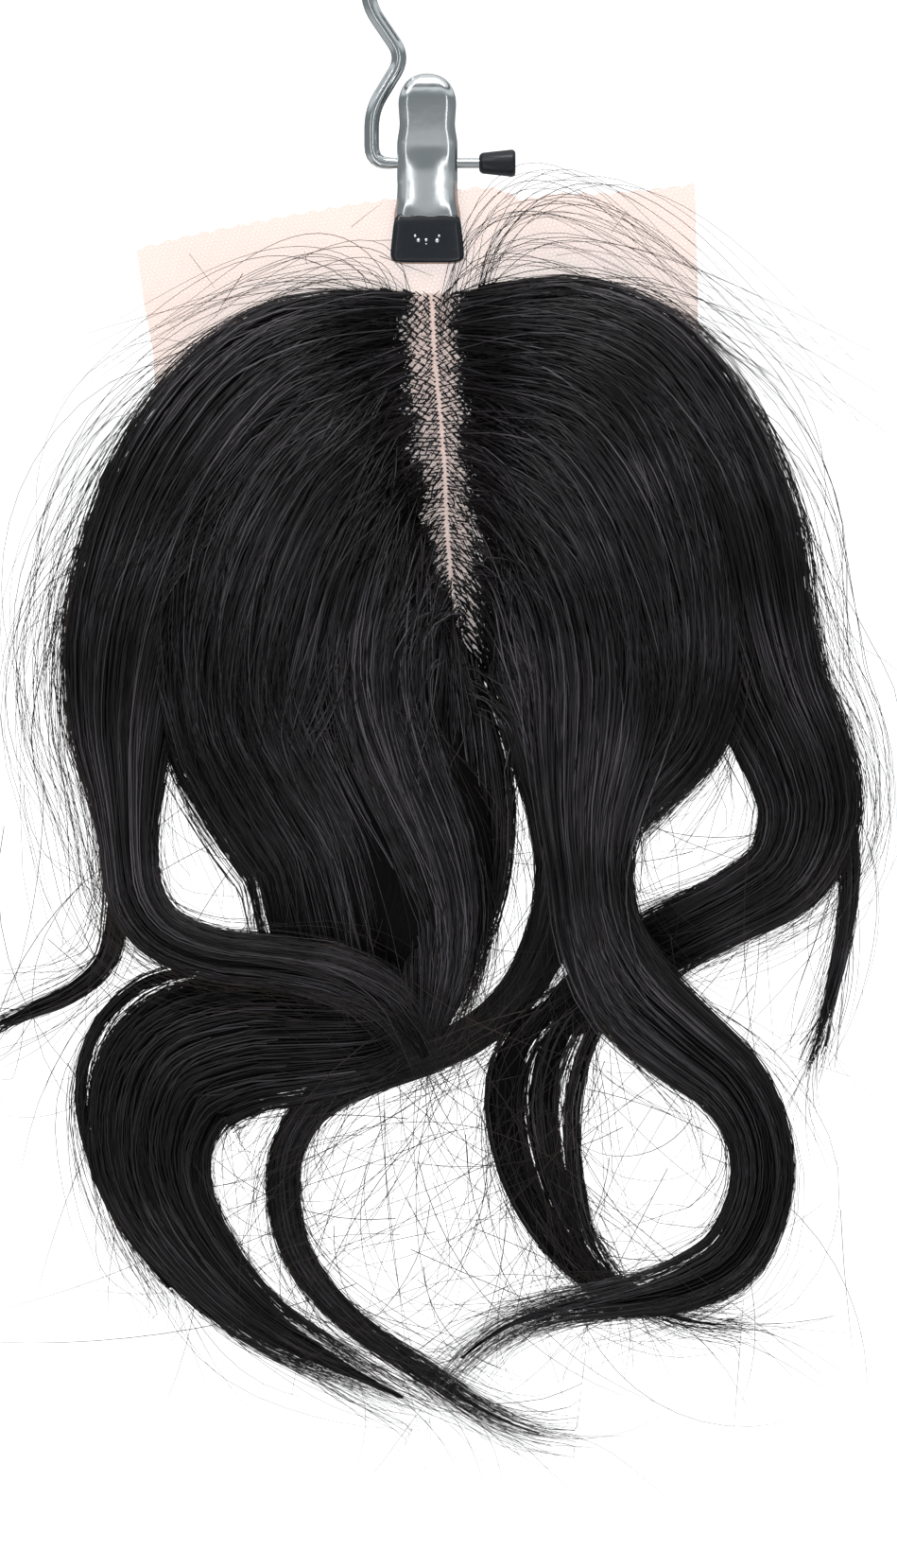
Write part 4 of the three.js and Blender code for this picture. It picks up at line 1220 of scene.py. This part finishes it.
# painted light by lock: the curls, the right under lock, the left crown and the left side are painted
# darker as painted shade, and the right crown and front lighter as a painted sheen
painted_light_by_lock = {
    "left": {"crown": 0.75, "side": 0.85, "curl": 0.45, "curl_edge": 0.5},
    "right": {"crown": 1.4, "front": 1.35, "under": 0.7},
}
ahead, behind, all_round = (-math.pi - 0.15, 0.15), (0.0, math.pi), (-math.pi, math.pi)
for side, locks in hair.items():
    pieces = {}
    for name, lock in locks.items():
        strands = pieces.setdefault("outer" if name in ("side", "crown") else "inner", Strands())
        _, _, half, depth = lock.frame(np.linspace(0, lock.length, 60))
        girth = half.max() + depth.max()
        groups = []
        if lock.rooted:
            count = int(girth * front_strands)
            begin = spread(0, 0.02, count)
            end = ragged_ends(lock, count, 0.035)
            groups.append((count, begin, end, ahead, root_range[side][name]))
            count = int(girth * back_strands)
            low = lock.length * (0.4 if name == "middle" else 0.6)
            begin = low * spread(0.75, 1.1, count)
            end = lock.length * spread(0.8, 1, count)
            groups.append((count, begin, end, behind, None))
        else:
            count = int(girth * free_strands)
            begin = 0.08 * spread(0, 1, count) ** 1.3
            end = ragged_ends(lock, count, 0.03)
            groups.append((count, begin, end, all_round, None))
        for count, begin, end, front, roots in groups:
            paths, outward, u = strands_over(lock, count, begin, end, front, roots=roots)
            thin = 1 - 0.8 * smoothstep(0.6, 1.0, u)
            radii = spread(*strand_radius, count) * thin
            strands.add(paths, outward, radii, strand_tones(count) * painted_light_by_lock[side].get(name, 1))
    for first, second, reach in fillets[side]:
        lock, other = locks[first], locks[second]
        reach = min(reach, 0.9 * min(lock.length, other.length))
        count = 420 if first != "inner" else 260
        low, high = (sum(root_range[side][name]) / 2 for name in (first, second))
        begin = spread(0, 0.02, count)
        shorter = min(lock.length, other.length)
        end = np.minimum(spread(reach, reach + 0.05, count), 0.97 * shorter)
        paths, outward, u = strands_over(
            lock, count, begin, end, (-2.6, -0.5), other, (reach * 0.45, reach), (low, high)
        )
        thin = 1 - 0.9 * smoothstep(0.8, 1.0, u)
        radii = spread(*strand_radius, count) * thin
        pieces["outer"].add(paths, outward, radii, strand_tones(count))
    for where, strands in pieces.items():
        strands.piece(f"hair_{side}_{where}_strands", strand_black)

# Each hair is tied to the net with a tiny knot. Around the parting the short tufts that leave
# the knots cross from one to the next in an open diamond lattice, denser away from the parting.
knots = Strands()
knot_columns, column_gap, first_column = 13, 0.00105, 0.0007
knot_rows, row_gap, first_row = 94, 0.0011, 0.0004
jitter = 0.00012
grid = np.array(
    [
        (side, first_column + i * column_gap, hairline_z + first_row - j * row_gap)
        for j in range(knot_rows)
        for i in range(knot_columns)
        for side in (-1, 1)
        if (i + j) % 2 == 0 or i == 0
    ]
)
out, off = grid[:, 0], grid[:, 1] + rng.normal(0, jitter, len(grid))
heights = grid[:, 2] + rng.normal(0, jitter, len(grid))
grid = np.stack([lane_x(grid[:, 2]) + out * off, heights], -1)
zone = np.maximum(0.002, open_zone(grid[:, 1], out))
keep = off < zone * 1.5
grid, off, out, zone = grid[keep], off[keep], out[keep], zone[keep]
down = (hairline_z - grid[:, 1]) / hair_length
far = off / zone
u = course(4)
for up in (1, -1):
    keep = rng.uniform(0, 1, len(grid)) < 0.88 + 0.2 * far
    x0, z0, o, f, d = (a[keep][:, None] for a in (grid[:, 0], grid[:, 1], out, far, down))
    n = len(x0)
    length = spread(0.75, 1.4, n) * (0.0016 + 0.0018 * f**2 + 0.0045 * d)
    angle = up * (0.78 - 2.3 * d) - 3.0 * d + rng.normal(0, 0.13, (n, 1)) - 0.3 * u * f
    dx, dz = o * np.cos(angle) * length * u, np.sin(angle) * length * u
    paths = np.stack([x0 + dx, -0.0007 - 0.0006 * u * (1 + f) + 0 * x0, z0 + dz], -1)
    thick = (0.95 + 1.6 * f**2) * (1 + 0.3 * smoothstep(0.2, 0.32, d))
    radii = spread(0.00009, 0.00026, n) * thick * (1 - 0.35 * u)
    knots.add(paths, toward_front + 0 * paths, radii, spread(0, 0.25, n), closed=True)
u = np.linspace(-1, 1, 3)[None]
x0, z0 = grid[:, :1], grid[:, 1:]
paths = np.stack([x0 + out[:, None] * 0.0003 * u, -0.0008 + 0 * u * x0, z0 + 0 * u], -1)
sizes = np.array([0.0001, 0.00028, 0.0001]) * spread(0.7, 1.2, len(grid))
knots.add(paths, toward_front + 0 * paths, sizes, spread(0, 0.2, len(grid)), closed=True)
knots.piece("parting_knots", strand_black)

# Loose hairs are the fine fly-away ones of combed human hair, each a very thin tube here. They
# stand off every lock, cross the gaps between the locks and fan out past the tips.
loose_black = hair_finish("loose_hairs", (0.004, 0.0035, 0.0035), (0.035, 0.026, 0.022), 0.4, 0.3)
loose = Strands()
# hairs per metre of lock: standing off it, and at a slant along its edges; and past each tip
standing_hairs, edge_hairs, tip_hairs = 260, 380, 26
buried_tips = ("side", "inner", "middle", "crown")


def thin_tubes(paths, low=0.00005, high=0.0001):
    """Adds loose hairs along the paths, with radii from low to high."""
    count, m, _ = paths.shape
    u = course(m)
    radii = spread(low, high, count) * (1 - 0.6 * u**2)
    facing = np.array([0.1, -1.0, 0.2]) + 0 * paths
    loose.add(over_lace(paths, 0.0006), facing, radii, spread(0, 1, count), closed=True)


for locks in hair.values():
    for name, lock in locks.items():
        count = int(lock.length * standing_hairs)
        low = 0.04 if lock.rooted else 0.0
        begin = spread(low, lock.length * 0.8, count)
        end = np.minimum(lock.length * 1.02, begin + spread(0.03, 0.11, count))
        u = course(13)
        run = begin + (end - begin) * u
        middle, sideways, half, depth = lock.frame(run)
        turn = spread(-math.pi, math.pi, count) + slow(count, u, 0.6, 0.25)
        lift = np.sin(math.pi * u * spread(0.45, 1.0, count))
        stray = np.minimum(0.018, rng.gamma(1.3, 0.0042, (count, 1))) * lift
        paths = (
            middle
            + sideways * ((half + stray) * np.cos(turn))[..., None]
            + toward_back * ((depth + 0.5 * stray) * np.sin(turn))[..., None]
        )
        thin_tubes(paths)
        # a fringe of fine ones leaves both edges at a slant
        count = int(lock.length * edge_hairs)
        run = spread(low, lock.length * 0.97, count)
        u = course(9)
        reach = spread(0.015, 0.06, count)
        run = np.minimum(lock.length, run + reach * u)
        middle, sideways, half, depth = lock.frame(run)
        edge = np.where(spread(0, 1, count) < 0.5, -1, 1)
        stray = reach * rng.normal(0.12, 0.13, (count, 1)) * u ** spread(0.8, 2, count)
        paths = middle + sideways * (edge * (half * 0.97 + stray + slow(count, u, 1, 0.0004)))[..., None]
        paths = paths + toward_back * (depth * spread(-0.9, 0.3, count))[..., None]
        thin_tubes(paths)
        # past the tip they fan out
        if name not in buried_tips:
            count = tip_hairs
            start = lock.length * spread(0.78, 1.0, count)
            u = course(10)
            reach = spread(0.012, 0.042, count)
            middle, sideways, half, depth = lock.frame(start + 0 * u)
            ahead_of = lock.frame(start + 0.004)[0] - lock.frame(start - 0.004)[0]
            ahead_of /= np.linalg.norm(ahead_of, axis=-1, keepdims=True)
            swing = rng.normal(0, 0.45, (count, 1)) * u + rng.normal(0, 0.08, (count, 1))
            paths = middle + ahead_of * (reach * u * np.cos(swing))[..., None]
            beside = reach * u * np.sin(swing) + half * spread(-1, 1, count)
            paths = paths + sideways * beside[..., None]
            paths = paths + toward_back * (rng.normal(0, 0.12, (count, 1)) * reach * u)[..., None]
            thin_tubes(paths, 0.00004, 0.00008)
# a thin veil of hairs hangs outside the outermost locks
for side, count, wide in (("left", 95, 0.02), ("right", 50, 0.012)):
    lock = hair[side]["side"]
    begin = spread(0.03, 0.12, count)
    end = begin + spread(0.06, 0.17, count)
    u = course(18)
    middle, sideways, half, depth = lock.frame(begin + (end - begin) * u)
    out = sideways * (1 if side == "left" else -1)
    bulge = wide * spread(0, 1, count) ** 1.7
    bulge = bulge * np.sin(math.pi * u ** spread(0.6, 1.3, count))
    paths = middle + out * (half * 0.96 + bulge + slow(count, u, 1, 0.0008))[..., None]
    paths = paths + toward_back * (depth * spread(-0.6, 0.6, count))[..., None]
    thin_tubes(paths)
# arcs over the bare lace, from the parting to the outside: side, count, greatest rise and span
for out, count, tall, wide in ((1, 60, 0.025, 0.105), (-1, 36, 0.011, 0.085)):
    u = course(20)
    rise = spread(0.1, 1.0, count) ** 1.3 * tall + 0.002
    span = wide * spread(0.45, 1.0, count) ** 0.7
    drop = 0.25 * span * spread(0.3, 1.3, count)
    x = 0.002 * out + spread(0, 0.012, count) * out
    x = x + out * span * u ** spread(0.9, 1.3, count)
    arch = np.sin(math.pi * u ** spread(0.55, 0.8, count))
    z = hairline_z - spread(0, 0.012, count) + rise * 1.4 * arch - drop * u**2.2
    z = z + slow(count, u, 0.8, 0.0007)
    y = -0.001 - spread(0.0005, 0.012, count) * np.sin(math.pi * u * 0.8)
    thin_tubes(np.stack([x, y + 0 * x, z], -1))
# long fine ones hang across the gaps between the lower locks
count = 340
u = course(12)
x0, z0 = spread(-0.105, 0.105, count), spread(-0.36, -0.2, count)
between = spread(0, 1, count) < 0.45
x0 = np.where(between, spread(-0.02, 0.05, count), x0)
z0 = np.where(between, spread(-0.36, -0.27, count), z0)
heading = rng.normal(-1.9, 0.8, (count, 1)) + rng.normal(0, 0.9, (count, 1)) * u
pace = spread(0.03, 0.095, count) / 11
x = x0 + np.cumsum(np.cos(heading) * pace, axis=1)
z = z0 + np.cumsum(np.sin(heading) * pace, axis=1)
y = spread(-0.022, -0.008, count) + slow(count, u, 0.8, 0.002)
inside = (np.abs(x).max(axis=1) < 0.113) & (z.min(axis=1) > -0.395)
thin_tubes(np.stack([x, y, z], -1)[inside], 0.00006, 0.00011)
# a few stray hairs lie across the bare lace
count = 16
u = course(8)
x = spread(-0.07, 0.06, count) + spread(-0.02, 0.02, count) * u
z = hairline_z + spread(0.0, 0.018, count) - spread(-0.01, 0.016, count) * u
thin_tubes(np.stack([x, -0.0008 - 0.002 * np.sin(math.pi * u) + 0 * x, z], -1))
loose.piece("loose_hairs", loose_black)
